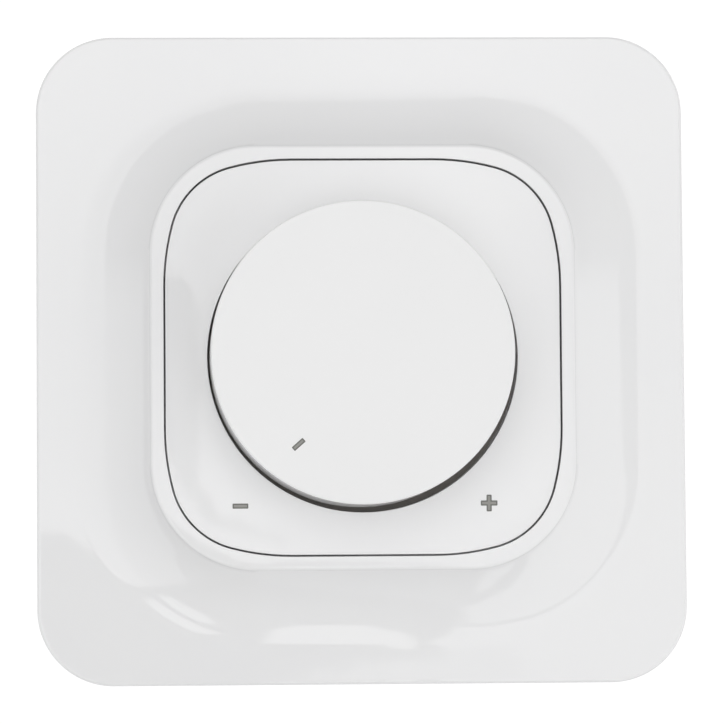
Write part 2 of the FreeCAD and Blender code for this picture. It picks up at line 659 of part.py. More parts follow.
def flat_outline(sketch, radius, flat):
    """A circle cut off by an upright line at the given distance."""
    half_angle = math.degrees(math.acos(value(flat) / value(radius)))
    arc = add_arc(sketch, point("0", "0"), value(radius), half_angle, 360 - half_angle)
    start = arc_end(point("0", "0"), value(radius), half_angle)
    end = arc_end(point("0", "0"), value(radius), -half_angle)
    line = sketch.addGeometry(Part.LineSegment(end, start))
    sketch.addConstraint(Sketcher.Constraint("Coincident", arc, 2, line, 1))
    sketch.addConstraint(Sketcher.Constraint("Coincident", line, 2, arc, 1))
    sketch.addConstraint(Sketcher.Constraint("Vertical", line))
    pin(sketch, arc, 3, "0", "0")
    constrain(sketch, radius, "Radius", arc)
    constrain(sketch, flat, "DistanceX", -1, 1, line, 1)


def make_knob():
    """The turned knob: a cap with a hub, ribs and a bore with a flat."""
    body = new_body("knob", "shaft_x")
    inner = "(knob_radius - knob_wall)"
    ceiling = "(knob_top_height - knob_face_thick)"
    cap = revolve(body, [
        ("0", "knob_top_height"),
        ("knob_radius", "knob_top_height"),
        (knob_foot_radius, "knob_foot_height"),
        (f"{knob_foot_radius} - knob_wall", "knob_foot_height"),
        (inner, ceiling),
        ("hub_radius", ceiling),
        ("hub_radius", "hub_foot"),
        ("0", "hub_foot"),
    ])
    fillet(body, cap, "knob_round", flat_at("knob_top_height"))
    rib = pad(body, f"{ceiling} - knob_rib_depth", "knob_rib_depth + weld", rectangle,
              "hub_radius - weld", f"{inner} + weld", "-knob_rib_thick / 2", "knob_rib_thick / 2")
    pattern = body.newObject("PartDesign::PolarPattern", "knob_ribs")
    pattern.Originals = [rib]
    pattern.Axis = (rib.Profile[0], ["N_Axis"])
    pattern.Angle = 360
    pattern.setExpression("Occurrences", bound("knob_rib_count"))
    body.Tip = pattern
    document.recompute()
    pocket(body, "shaft_top + shaft_end_gap", "shaft_top + shaft_end_gap - hub_foot", knob_bore)


def make_knob_clip():
    """The split spring ring that presses the knob's hub onto the shaft."""
    body = new_body("knob_clip", "shaft_x")
    inner = "(hub_radius + slide_fit / 2)"
    height = "(hub_foot + clip_inset)"
    pad(body, height, "clip_length", ring, "0", "0", f"{inner} + clip_thick", inner)
    pocket(body, f"{height} + clip_length", "clip_length", rectangle,
           "hub_radius - cut_margin", "hub_radius + clip_thick + cut_margin",
           "-clip_split / 2", "clip_split / 2")


def ring(sketch, x, y, outer, inner):
    circle(sketch, x, y, outer)
    circle(sketch, x, y, inner)


def make_shaft():
    """The turning shaft, with the flat for the knob at its front end."""
    body = new_body("shaft", "shaft_x")
    pad(body, plunger_top, f"shaft_top - {plunger_top}", circle, "0", "0", "shaft_radius")
    pocket(body, "shaft_top", "flat_length", shaft_flat)


def hexagon(sketch, width):
    """A regular hexagon with the given width across its flats."""
    corners = []
    for step in range(6):
        across = f"({width}) / 2 / cos(30 deg)"
        corners.append((f"{across} * cos({60 * step} deg)", f"{across} * sin({60 * step} deg)"))
    polygon(sketch, corners)


def make_fixing():
    """The nut and washer that hold the centre plate on the bushing."""
    washer = new_body("nut_washer", "shaft_x")
    pad(washer, "well_floor", "washer_thick", ring, "0", "0",
        "washer_radius", "bushing_radius + slide_fit")
    nut = new_body("fixing_nut", "shaft_x")
    pad(nut, "well_floor + washer_thick", "nut_thick", hexagon, "nut_width")
    pocket(nut, nut_top, "nut_thick", circle, "0", "0", "bushing_radius + slide_fit / 2")


def make_support_plate():
    """The steel plate on the wall, with box screw slots and ears for the claws."""
    body = new_body("support_plate")
    pad(body, "0", "support_thick", rounded_rectangle,
        "support_width / 2", "support_width / 2", "support_corner")
    pocket(body, "support_thick", "support_thick", rounded_rectangle,
           "block_half + loose_fit", "block_half + loose_fit", "block_corner + loose_fit")
    ear_inside = "(claw_width / 2 + claw_side_gap)"
    for side in (-1, 1):
        ear_left = f"{side} * {pivot_x} - ear_width / 2"
        ear_right = f"{side} * {pivot_x} + ear_width / 2"
        pocket(body, "support_thick", "support_thick", slot, "0", f"{side} * box_spacing / 2",
               "box_slot_width / 2", "box_slot_length / 2")
        pocket(body, "support_thick", "support_thick", circle, f"{side} * {claw_screw_x}", "0",
               "claw_screw_radius + screw_fit")
        pocket(body, "support_thick", "support_thick", rectangle, ear_left, ear_right,
               f"-{ear_inside}", ear_inside)
        for other in (-1, 1):
            middle = f"{other} * ({ear_inside} + support_thick / 2)"
            pad(body, "-ear_reach", "ear_reach + support_thick / 2", rectangle, ear_left,
                ear_right, f"{middle} - support_thick / 2", f"{middle} + support_thick / 2")
    pocket(body, "support_thick", "support_thick", four_circles, "screw_radius + screw_fit")
    pocket(body, "0", "claw_width + support_thick * 4", pivot_circles,
           "claw_pin_radius + slide_fit / 2", plane="XZ_Plane", symmetric=True)


def pivot_circles(sketch, radius):
    for side in (-1, 1):
        circle(sketch, f"{side} * {pivot_x}", "claw_pivot_height", radius)


def make_housing():
    """The tub behind the wall: bosses, terminal chambers and the holes for wires and screws."""
    body = new_body("housing")
    front = "-cover_thick"
    floor = "(housing_back - housing_depth)"
    tub = pad(body, "-housing_depth", "housing_depth - cover_thick", rounded_rectangle,
              housing_half_x, housing_half_y, "housing_corner")
    fillet(body, tub, "housing_edge_round", flat_at("-housing_depth"))
    pocket(body, front, f"{front} - {floor}", rounded_rectangle, inner_x, inner_y,
           "housing_corner - housing_wall")
    pad(body, floor, f"{board_back} - {floor}", four_circles, f"{screw_hole_radius} + boss_wall")
    wall_low = f"-{inner_y} - housing_wall / 2"
    wall_high = f"cage_length - {terminal_edge} + divider_reach"
    for edge in range(terminal_count + 1):
        middle = f"{edge - terminal_count / 2} * terminal_pitch"
        pad(body, f"{floor} - weld", f"{board_back} - {floor} + weld - slide_fit", rectangle,
            f"{middle} - divider_thick / 2", f"{middle} + divider_thick / 2", wall_low, wall_high)
    pad(body, head_front, "ledge_thick", rectangle, "-terminal_count / 2 * terminal_pitch",
        "terminal_count / 2 * terminal_pitch", wall_low, wall_high)
    screw_tip = "(support_thick - screw_length)"
    pocket(body, board_back, f"{board_back} - {screw_tip} + screw_tip_room", four_circles,
           screw_hole_radius)
    for middle in terminal_places:
        pocket(body, ledge_front, "ledge_thick", circle, middle, cage_middle,
               "terminal_screw_radius + slide_fit * 2")
        pocket(body, floor, "housing_back", circle, middle, cage_middle,
               "terminal_head_radius + terminal_head_gap")
        pocket(body, f"{housing_half_y} + cut_margin / 2", "housing_wall + cut_margin", rectangle,
               f"{middle} - wire_mouth / 2", f"{middle} + wire_mouth / 2",
               bar_front, wire_front, plane="XZ_Plane")


def make_housing_cover():
    """The cover behind the support plate, whose raised block carries the centre plate."""
    body = new_body("housing_cover")
    inner = "(block_half - block_wall)"
    pad(body, "-cover_thick", "cover_thick", rounded_rectangle,
        housing_half_x, housing_half_y, "housing_corner")
    pad(body, "-cover_thick / 2", f"{floor_bottom} + cover_thick / 2", rounded_rectangle,
        "block_half", "block_half", "block_corner")
    pocket(body, pot_front, f"{pot_front} + cover_thick", rounded_rectangle, inner, inner,
           "block_corner - block_wall")
    pocket(body, floor_bottom, "block_wall", circle, "shaft_x", "0",
           "bushing_radius + slide_fit")
    pocket(body, "0", "cover_thick", four_circles, "screw_radius + screw_fit")


def four_circles(sketch, radius):
    for side_x in (-1, 1):
        for side_y in (-1, 1):
            circle(sketch, f"{side_x} * {screw_x}", f"{side_y} * {screw_y}", radius)


def make_housing_screws():
    """The four screws that hold support plate, cover and housing together."""
    body = new_body("housing_screws")
    pad(body, "support_thick", "screw_head_thick", four_circles, "screw_head_radius")
    pad(body, "support_thick - screw_length", "screw_length", four_circles, "screw_radius")


def make_potentiometer():
    """The potentiometer: metal front with bushing, case, track disc, rotor and brush."""
    front = new_body("potentiometer_bushing", "shaft_x")
    pad(front, pot_case_front, "pot_front_thick", rounded_rectangle,
        "pot_half", "pot_half", "pot_corner")
    pad(front, pot_front, f"{bushing_top} - {pot_front}", circle, "0", "0", "bushing_radius")
    pocket(front, bushing_top, f"{bushing_top} - {pot_case_front}", circle, "0", "0",
           "shaft_radius + slide_fit")
    case = new_body("potentiometer_case", "shaft_x")
    pad(case, "board_height", f"{pot_case_front} - board_height", rounded_rectangle,
        "pot_half", "pot_half", "pot_corner")
    pocket(case, pot_case_front, f"{pot_case_front} - board_height - pot_floor",
           circle, "0", "0", "pot_half - pot_wall")
    pocket(case, "board_height + pot_floor", "pot_floor", circle, "0", "0",
           "shaft_radius + loose_fit")
    track = new_body("track_disc", "shaft_x")
    pad(track, "board_height + pot_floor", "track_thick", ring, "0", "0",
        "pot_half - pot_wall - slide_fit", "shaft_radius + loose_fit * 2")
    rotor = new_body("wiper_rotor", "shaft_x")
    rotor_front = f"{pot_case_front} - slide_fit * 2"
    revolve(rotor, [
        ("shaft_radius + slide_fit", rotor_back),
        ("rotor_radius", rotor_back),
        ("rotor_radius", f"{rotor_back} + rotor_thick"),
        ("rotor_hub_radius", f"{rotor_back} + rotor_thick"),
        ("rotor_hub_radius", rotor_front),
        ("shaft_radius + slide_fit", rotor_front),
    ])
    brush = new_body("wiper_brush", "shaft_x")
    pad(brush, f"{rotor_back} - brush_thick", "brush_thick", rectangle, "-brush_width / 2",
        "brush_width / 2", "shaft_radius + loose_fit * 3", "rotor_radius - loose_fit")


def make_push_switch():
    """The push switch behind the board: body, plunger and contacts."""
    body = new_body("switch_body", "shaft_x")
    pad(body, switch_back, "switch_depth", rounded_rectangle,
        "switch_half", "switch_half", "switch_corner")
    pocket(body, switch_cavity, "switch_depth - switch_plate * 2", circle, "0", "0",
           "switch_half - switch_wall")
    pocket(body, board_back, "switch_plate", circle, "0", "0", "plunger_radius + slide_fit")
    pocket(body, f"{switch_back} + switch_plate", "switch_plate", contact_circles,
           "contact_radius + slide_fit / 2")
    plunger = new_body("push_plunger", "shaft_x")
    pad(plunger, flange_back, f"{plunger_top} - {flange_back} - slide_fit",
        circle, "0", "0", "plunger_radius")
    pad(plunger, flange_back, "flange_thick", circle, "0", "0", "flange_radius")
    pad(plunger, f"{flange_back} - push_travel", "push_travel + flange_thick / 2",
        circle, "0", "0", "spring_radius - spring_wire / 2 - loose_fit")
    contact = new_body("moving_contact", "shaft_x")
    pad(contact, f"{flange_back} - contact_thick", "contact_thick", ring, "0", "0",
        contact_ring_outer, f"{contact_ring_outer} - contact_ring_width")
    fixed = new_body("switch_contacts", "shaft_x")
    fixed_top = f"({flange_back} - contact_thick - push_travel - slide_fit * 2)"
    pad(fixed, f"{switch_back} - contact_tail", f"{fixed_top} - {switch_back} + contact_tail",
        contact_circles, "contact_radius")


def contact_circles(sketch, radius):
    for side in (-1, 1):
        circle(sketch, f"{side} * ({contact_ring_outer} - contact_ring_width / 2)", "0", radius)


def helix_point(radius, pitch, low, angle):
    """A point of a helix and the direction of the wire there."""
    place = FreeCAD.Vector(radius * math.cos(angle), radius * math.sin(angle),
                           low + pitch * angle / (2 * math.pi))
    along = FreeCAD.Vector(-radius * math.sin(angle), radius * math.cos(angle),
                           pitch / (2 * math.pi))
    return place, along.normalize()


def tangent_arc(start, along, end):
    """The arc that leaves the start in the given direction and reaches the end."""
    chord = end - start
    half_turn = along.getAngle(chord)
    middle = start + chord * 0.5
    apex = start + along * (chord.Length / 2 / math.cos(half_turn))
    rise = (apex - middle).normalize() * (chord.Length / 2 * math.tan(half_turn / 2))
    return Part.Arc(start, middle + rise, end).toShape()


def biarc(start, along, end, arriving):
    """Two arcs, tangent to each other and to the directions at both ends."""
    gap = end - start
    both = along + arriving
    a = 2 * (along.dot(arriving) - 1)
    b = -2 * gap.dot(both)
    c = gap.dot(gap)
    reach = (-b - math.sqrt(b * b - 4 * a * c)) / (2 * a)
    joint = (start + along * reach + end - arriving * reach) * 0.5
    second = tangent_arc(end, arriving * -1, joint)
    return [tangent_arc(start, along, joint), second]


def make_return_spring():
    """The coil spring under the plunger, one unbroken wire in quarter turns of two arcs."""
    low = value(f"{switch_back} + switch_plate + spring_wire / 2")
    high = value(f"{flange_back} - spring_wire / 2")
    radius = value("spring_radius")
    wire = value("spring_wire")
    turns = int(value("spring_turns"))
    pitch = (high - low) / turns
    edges = []
    for quarter in range(4 * turns):
        start, along = helix_point(radius, pitch, low, quarter * math.pi / 2)
        end, arriving = helix_point(radius, pitch, low, (quarter + 1) * math.pi / 2)
        edges += biarc(start, along, end, arriving)
    path = Part.Wire(Part.__sortEdges__(edges))
    start, along = helix_point(radius, pitch, low, 0)
    profile = Part.Wire(Part.makeCircle(wire / 2, start, along))
    spring = document.addObject("Part::Feature", "return_spring")
    spring.Label = "return_spring"
    spring.Shape = path.makePipeShell([profile], True, False)
    spring.Placement = upright
    spring.setExpression("Placement.Base.x", bound("shaft_x"))
    nodes.append(spring)
    print("return_spring: least gap between its turns", round(pitch - wire, 2), "mm")


def make_circuit_board():
    """The circuit board, with holes for the four screws and for the shaft."""
    body = new_body("circuit_board")
    pad(body, board_back, "board_thick", rounded_rectangle, f"{inner_x} - board_gap",
        f"{inner_y} - board_gap", "housing_corner - housing_wall - board_gap")
    pocket(body, "board_height", "board_thick", four_circles, "screw_radius + screw_fit")
    pocket(body, "board_height", "board_thick", circle, "shaft_x", "0",
           "shaft_radius + loose_fit")


def claw_outline(sketch, side):
    """The claw's profile: a nose under the screw, a long tail and a foot with a sharp tip."""
    top = "(claw_pivot_height + claw_nose_rise)"
    under = f"({top} - claw_nose_thick)"
    foot = "(claw_pivot_height - claw_length)"
    tail_in = f"({pivot_x} - claw_thick)"
    corners = [
        (tail_in, foot),
        (f"{pivot_x} + claw_foot - claw_tip", foot),
        (f"{pivot_x} + claw_foot", f"{foot} + claw_tip"),
        (pivot_x, f"{foot} + claw_thick + claw_tip"),
        (pivot_x, under),
        (f"{pivot_x} + claw_nose", under),
        (f"{pivot_x} + claw_nose", top),
        (tail_in, top),
    ]
    polygon(sketch, [(f"{side} * ({x})", y) for x, y in corners])


def make_claw(name, side):
    """A spreading claw with its barrel, screw slot and open tail."""
    body = new_body(name)
    pad(body, "0", "claw_width", claw_outline, side, plane="XZ_Plane", symmetric=True)
    pad(body, "0", "claw_width", circle, f"{side} * {pivot_x}", "claw_pivot_height",
        "claw_pin_radius + claw_barrel_wall", plane="XZ_Plane", symmetric=True)
    pocket(body, "0", "claw_width + cut_margin", circle, f"{side} * {pivot_x}",
           "claw_pivot_height", "claw_pin_radius + slide_fit", plane="XZ_Plane", symmetric=True)
    slot_near = f"({claw_screw_x} - claw_screw_radius - claw_play)"
    slot_far = f"({pivot_x} + claw_nose - claw_nose_wall)"
    pocket(body, "0", "claw_nose_thick - claw_nose_rise - claw_pivot_height + cut_margin", slot,
           f"{side} * ({slot_near} + {slot_far}) / 2", "0",
           f"({slot_far} - {slot_near}) / 2", "claw_screw_radius + loose_fit")
    pocket(body, "claw_pivot_height - claw_pin_radius - claw_bridge", "claw_slot_length",
           rectangle, f"{side} * {pivot_x} - claw_thick - cut_margin",
           f"{side} * {pivot_x} + claw_thick + cut_margin", "-claw_slot / 2", "claw_slot / 2")


def make_claw_pins():
    """The pivot pins of both claws."""
    body = new_body("claw_pins")
    pad(body, "0", "claw_width + 2 * (claw_side_gap + support_thick + claw_pin_overhang)",
        pivot_circles, "claw_pin_radius", plane="XZ_Plane", symmetric=True)


def make_screw(name, x, y, head_base, size, tip, forward):
    """A round-headed screw with a cross recess; forward tells which way the head looks."""
    body = new_body(name, x, y)
    head_radius, head_thick, radius = (f"{size}_{what}" for what in
                                       ("head_radius", "head_thick", "screw_radius"))
    head_low = head_base if forward else f"({head_base} - {head_thick})"
    head_high = f"({head_base} + {head_thick})" if forward else head_base
    head = pad(body, head_low, head_thick, circle, "0", "0", head_radius)
    fillet(body, head, f"{head_thick} * head_round", flat_at(head_high if forward else head_low))
    low, high = (tip, head_base) if forward else (head_base, tip)
    pad(body, low, f"({high}) - ({low})", circle, "0", "0", radius)
    depth = f"{head_thick} * recess_depth"
    top = head_high if forward else f"{head_low} + {depth}"
    for long, short in (("x", "y"), ("y", "x")):
        reach = {long: f"({head_radius} * recess_reach)", short: f"({head_radius} * recess_width)"}
        pocket(body, top, depth, rectangle, f"-{reach['x']}", reach["x"],
               f"-{reach['y']}", reach["y"])


def make_cage(number, place):
    """A brass cage that rises along its screw and clamps the wire on the bar."""
    body = new_body(f"terminal_cage_{number}", place, cage_middle)
    back = f"({cage_inner_back} - cage_wall)"
    pad(body, back, f"{cage_front} - {back}", rectangle, "-cage_width / 2", "cage_width / 2",
        "-cage_length / 2", "cage_length / 2")
    pocket(body, "0", "cage_length + cut_margin", rectangle, "cage_wall - cage_width / 2",
           "cage_width / 2 - cage_wall", cage_inner_back, wire_front,
           plane="XZ_Plane", symmetric=True)
    pocket(body, cage_inner_back, "cage_wall", circle, "0", "0",
           "terminal_screw_radius + slide_fit")


def make_contact_bar(number, place):
    """The contact bar through a cage, bent forward to the circuit board."""
    body = new_body(f"terminal_bar_{number}", place)
    inboard = f"(cage_length - {terminal_edge} + bar_tail)"
    pad(body, bar_back, "bar_thick", rectangle, "-bar_width / 2", "bar_width / 2",
        f"-{terminal_edge}", inboard)
    pad(body, bar_back, f"{board_back} - {bar_back}", rectangle, "-bar_width / 2",
        "bar_width / 2", f"{inboard} - bar_thick", inboard)


def make_fuse():
    """The glass fuse with the clips around its caps."""
    glass = new_body("fuse_glass", "0", fuse_y)
    middle = f"({board_back} - fuse_radius - fuse_gap)"
    pad(glass, "0", "fuse_length - fuse_cap_wall * 2", circle, "0", middle, "fuse_radius",
        plane="YZ_Plane", symmetric=True)
    pocket(glass, "0", "fuse_length - (fuse_cap_wall + fuse_glass_wall) * 2", circle, "0",
           middle, "fuse_radius - fuse_glass_wall", plane="YZ_Plane", symmetric=True)
    clips = new_body("fuse_clips", "0", fuse_y)
    outer = "(fuse_radius + fuse_clip_wall)"
    pad(clips, "0", "fuse_length", circle, "0", middle, outer, plane="YZ_Plane", symmetric=True)
    pad(clips, middle, f"{board_back} - {middle}", rectangle, "-fuse_length / 2",
        "fuse_length / 2", "-fuse_clip_width / 2", "fuse_clip_width / 2")
    pocket(clips, board_back, f"fuse_gap + {outer} * 2 + cut_margin", rectangle,
           "fuse_cap_length - fuse_length / 2", "fuse_length / 2 - fuse_cap_length",
           f"-{outer} - cut_margin", f"{outer} + cut_margin")
    pocket(clips, "0", "fuse_length - fuse_cap_wall * 2", circle, "0", middle, "fuse_radius",
           plane="YZ_Plane", symmetric=True)


def make_choke():
    """The filter choke: a ring core that stands on edge, and the wire wound on most of it."""
    height = f"{board_back} - choke_gap - choke_wire - choke_radius"
    core = new_body("choke_core", choke_x, "choke_y", height, on_edge)
    side = "choke_thick / 2"
    revolve(core, [
        ("choke_bore", f"choke_bevel - {side}"),
        ("choke_bore + choke_bevel", f"-{side}"),
        ("choke_radius - choke_bevel", f"-{side}"),
        ("choke_radius", f"choke_bevel - {side}"),
        ("choke_radius", f"{side} - choke_bevel"),
        ("choke_radius - choke_bevel", side),
        ("choke_bore + choke_bevel", side),
        ("choke_bore", f"{side} - choke_bevel"),
    ])
    winding = new_body("choke_winding", choke_x, "choke_y", height, on_edge)
    sketch = new_sketch(winding, "0", "XZ_Plane")
    outer = "(choke_thick / 2 + choke_wire)"
    inner = "(choke_thick / 2 + slide_fit)"
    rectangle(sketch, "choke_bore - choke_wire", "choke_radius + choke_wire",
              f"-{outer}", outer)
    rectangle(sketch, "choke_bore - slide_fit", "choke_radius + slide_fit", f"-{inner}", inner)
    turned = winding.newObject("PartDesign::Revolution", "choke_winding_turned")
    turned.Profile = sketch
    turned.ReferenceAxis = (sketch, ["V_Axis"])
    turned.setExpression("Angle", bound("winding_angle"))
    document.recompute()


def make_moulded_part(name, x, y, width, length, back, front):
    """A moulded part on the circuit board, with softly rounded upright edges."""
    body = new_body(name)
    made = pad(body, back, f"({front}) - ({back})", rectangle,
               f"{x} - {width} / 2", f"{x} + {width} / 2",
               f"{y} - {length} / 2", f"{y} + {length} / 2")
    fillet(body, made, "part_round", lambda edge: edge.BoundBox.ZLength > value("part_round"))
    return body


def legs(sketch, places):
    for x, y in places:
        circle(sketch, x, y, "leg_radius")


def make_transistor():
    """The power transistor on its heat sink, with three legs in the circuit board."""
    sink = new_body("heat_sink")
    pad(sink, f"{board_back} - heat_sink_depth", "heat_sink_depth", rectangle,
        heat_sink_x, f"{heat_sink_x} + heat_sink_thick", "heat_sink_low", "heat_sink_high")
    x = f"({heat_sink_x} - transistor_thick / 2)"
    front = f"({board_back} - transistor_stand)"
    body = make_moulded_part("transistor", x, "transistor_y", "transistor_thick",
                             "transistor_width", f"{front} - transistor_height", front)
    places = [(x, f"transistor_y + {shift} * leg_pitch") for shift in (-1, 0, 1)]
    pad(body, f"{front} - weld", "transistor_stand + weld", legs, places)


def make_capacitor():
    """The interference capacitor, a moulded box on two legs."""
    front = f"({board_back} - capacitor_stand)"
    body = make_moulded_part("film_capacitor", "capacitor_x", capacitor_y, "capacitor_length",
                             "capacitor_thick", f"{front} - capacitor_height", front)
    places = [(f"capacitor_x + {side} * capacitor_legs / 2", capacitor_y) for side in (-1, 1)]
    pad(body, f"{front} - weld", "capacitor_stand + weld", legs, places)


def make_drive_chip():
    """The small drive chip on the front of the circuit board."""
    make_moulded_part("drive_chip", chip_x, "0", "chip_width", "chip_length",
                      "board_height", "board_height + chip_thick")


make_frame()
make_centre_plate()
make_knob()
make_knob_clip()
make_shaft()
make_fixing()
make_support_plate()
make_housing()
make_housing_cover()
make_housing_screws()
make_potentiometer()
make_push_switch()
make_return_spring()
make_circuit_board()
make_claw_pins()
for name, side in (("left", -1), ("right", 1)):
    make_claw(f"claw_{name}", side)
    make_screw(f"claw_screw_{name}", f"{side} * {claw_screw_x}", "0", "support_thick", "claw",
               "-claw_screw_length", True)
for number, place in enumerate(terminal_places, start=1):
    make_cage(number, place)
    make_contact_bar(number, place)
    make_screw(f"terminal_screw_{number}", place, cage_middle, head_front, "terminal",
               terminal_tip, False)
make_fuse()
make_choke()
make_transistor()
make_capacitor()
make_drive_chip()
document.recompute()


def check_shapes():
    """Stop with a message if any object failed or any piece is not a sound solid."""
    for item in document.Objects:
        if "Invalid" in item.State or "Error" in item.State:
            raise RuntimeError(f"{item.Label} failed: {item.State}")
    for item in nodes:
        shape = item.Shape
        if shape.isNull() or not shape.isValid() or not shape.Solids:
            raise RuntimeError(f"{item.Label} is not a sound solid")


check_shapes()
os.makedirs("parts", exist_ok=True)
for item in nodes:
    item.Shape.exportStep(f"parts/{item.Label}.step")
print(len(nodes), "pieces written")
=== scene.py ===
import json
import math
import bmesh
import bpy
from mathutils import Matrix, Vector


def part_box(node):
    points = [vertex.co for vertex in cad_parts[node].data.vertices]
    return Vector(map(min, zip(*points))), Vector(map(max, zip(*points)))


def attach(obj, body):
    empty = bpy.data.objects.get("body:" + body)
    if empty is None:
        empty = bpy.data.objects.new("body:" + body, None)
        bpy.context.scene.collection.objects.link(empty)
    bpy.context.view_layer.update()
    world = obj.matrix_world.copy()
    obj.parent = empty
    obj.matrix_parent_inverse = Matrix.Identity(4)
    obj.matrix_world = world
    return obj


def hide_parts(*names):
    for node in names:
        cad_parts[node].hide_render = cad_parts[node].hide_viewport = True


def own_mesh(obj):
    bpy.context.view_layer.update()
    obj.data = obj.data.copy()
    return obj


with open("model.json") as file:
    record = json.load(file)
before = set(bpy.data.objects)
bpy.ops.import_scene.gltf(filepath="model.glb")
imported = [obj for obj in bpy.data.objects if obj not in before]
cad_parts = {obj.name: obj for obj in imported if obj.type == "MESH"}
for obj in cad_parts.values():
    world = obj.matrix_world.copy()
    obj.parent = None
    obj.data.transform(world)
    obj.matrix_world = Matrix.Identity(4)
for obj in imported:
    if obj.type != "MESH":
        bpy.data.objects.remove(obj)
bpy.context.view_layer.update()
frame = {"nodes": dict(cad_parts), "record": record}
print("the frame is loaded:", len(frame["nodes"]), "nodes")

# Every piece is drawn face up in millimetres: x to the right, y up the wall, z the height above
# the wall. toRow stands it up: the front faces -Y and the wall is the plane y = 0.
mm = 0.001
fullTurn = 2 * math.pi


def toRow(x, y, height):
    return Vector((x, -height, y)) * mm


def linear(hexCode):
    # an sRGB hex colour as the linear colour that a shader takes
    channels = []
    for start in (1, 3, 5):
        level = int(hexCode[start:start + 2], 16) / 255
        channels.append(level / 12.92 if level <= 0.04045 else ((level + 0.055) / 1.055) ** 2.4)
    return (*channels, 1.0)


# Materials

def addNode(tree, kind, settings, links=()):
    # one node: a setting is an attribute or an input's value, a link joins a socket to an input, and
    # an input goes by its name or its number
    node = tree.nodes.new(kind)
    for name, level in settings.items():
        if isinstance(name, str) and hasattr(node, name):
            setattr(node, name, level)
        else:
            node.inputs[name].default_value = level
    for source, name in links:
        tree.links.new(source, node.inputs[name])
    return node


def newMaterial(name):
    material = bpy.data.materials.new(name)
    material.use_nodes = True
    material.node_tree.nodes.clear()
    return material, material.node_tree


def showSurface(tree, shader):
    addNode(tree, "ShaderNodeOutputMaterial", {}, [(shader.outputs["BSDF"], "Surface")])


def addNoise(tree, place, size, detail):
    # noise whose patches are about size mm wide
    return addNode(tree, "ShaderNodeTexNoise", {"Scale": 1 / (size * mm), "Detail": detail},
                   [(place, "Vector")]).outputs["Fac"]


def addBump(tree, height, pattern, below=None):
    # raises the surface by up to height mm, on top of the bump below
    links = [(pattern, "Height")] + ([(below, "Normal")] if below else [])
    return addNode(tree, "ShaderNodeBump", {"Strength": 1.0, "Distance": height * mm},
                   links).outputs["Normal"]


def addTwoTones(tree, pattern, colour, otherColour):
    return addNode(tree, "ShaderNodeMix",
                   {"data_type": "RGBA", 6: linear(colour), 7: linear(otherColour)},
                   [(pattern, 0)]).outputs[2]


mouldedPlastic = {
    "toneSize": 14.0,        # mm, patches that are a trace cooler or warmer
    "toneDetail": 1.5,       # octaves of the noise, as below
    "waveLength": 3.0,       # mm, the slow waviness of a moulded face, which bends reflections
    "waveHeight": 0.002,     # mm
    "grainSize": 0.9,        # mm, fine unevenness of the skin
    "grainHeight": 0.00002,  # mm
    "detail": 2.0,
    "ior": 1.53,             # typical of such plastics
}


def mouldedSkin(name, colour, coolColour, roughness, grainHeight):
    # injection-moulded plastic: one colour with faint cool patches, a smooth skin with a slow waviness
    looks = mouldedPlastic
    material, tree = newMaterial(name)
    place = addNode(tree, "ShaderNodeTexCoord", {}).outputs["Object"]
    tone = addNoise(tree, place, looks["toneSize"], looks["toneDetail"])
    wave = addNoise(tree, place, looks["waveLength"], looks["detail"])
    grain = addNoise(tree, place, looks["grainSize"], looks["detail"])
    waves = addBump(tree, looks["waveHeight"], wave)
    shader = addNode(tree, "ShaderNodeBsdfPrincipled", {"Roughness": roughness, "IOR": looks["ior"]},
                     [(addTwoTones(tree, tone, colour, coolColour), "Base Color"),
                      (addBump(tree, grainHeight, grain, waves), "Normal")])
    showSurface(tree, shader)
    return material


metalFinish = {
    "patchSize": 3.5,        # mm, the cloudiness of a plated or tumbled surface
    "patchDetail": 3.0,      # octaves of the noise, as below
    "scratchLength": 2.5,    # mm
    "scratchWidth": 0.12,    # mm, wider than a real drawing mark so that it shows
    "scratchHeight": 0.0012,
    "scratchDetail": 1.0,
}


def metalSkin(name, colour, dullColour, roughness, dullRoughness):
    # bare or plated metal: cloudy patches of two tones, fine drawing marks, the default IOR
    looks = metalFinish
    material, tree = newMaterial(name)
    place = addNode(tree, "ShaderNodeTexCoord", {}).outputs["Object"]
    patch = addNoise(tree, place, looks["patchSize"], looks["patchDetail"])
    rough = addNode(tree, "ShaderNodeMapRange", {"To Min": roughness, "To Max": dullRoughness},
                    [(patch, "Value")])
    across, along = 1 / (looks["scratchWidth"] * mm), 1 / (looks["scratchLength"] * mm)
    stretch = addNode(tree, "ShaderNodeMapping", {"Scale": (across, across, along)}, [(place, "Vector")])
    marks = addNode(tree, "ShaderNodeTexNoise", {"Scale": 1.0, "Detail": looks["scratchDetail"]},
                    [(stretch.outputs["Vector"], "Vector")]).outputs["Fac"]
    shader = addNode(tree, "ShaderNodeBsdfPrincipled", {"Metallic": 1.0},
                     [(addTwoTones(tree, patch, colour, dullColour), "Base Color"),
                      (rough.outputs["Result"], "Roughness"),
                      (addBump(tree, looks["scratchHeight"], marks), "Normal")])
    showSurface(tree, shader)
    return material


# frame and plate: a high gloss that mirrors the tent's panels with slightly wavy edges
glossWhite = mouldedSkin("glossThermoplasticMoulded", "#ececec", "#eaeaeb", 0.02,
                         mouldedPlastic["grainHeight"])
# the knob's face: a soft sheen without reflections that can be made out
satinWhite = mouldedSkin("satinThermoplasticMoulded", "#efefef", "#ededed", 0.42, 0.0008)
# the knob's side is polished: seen along it, it mirrors the dark gap below
gripWhite = mouldedSkin("gripThermoplasticPolished", "#f3f3f3", "#f1f1f1", 0.12,
                        mouldedPlastic["grainHeight"])
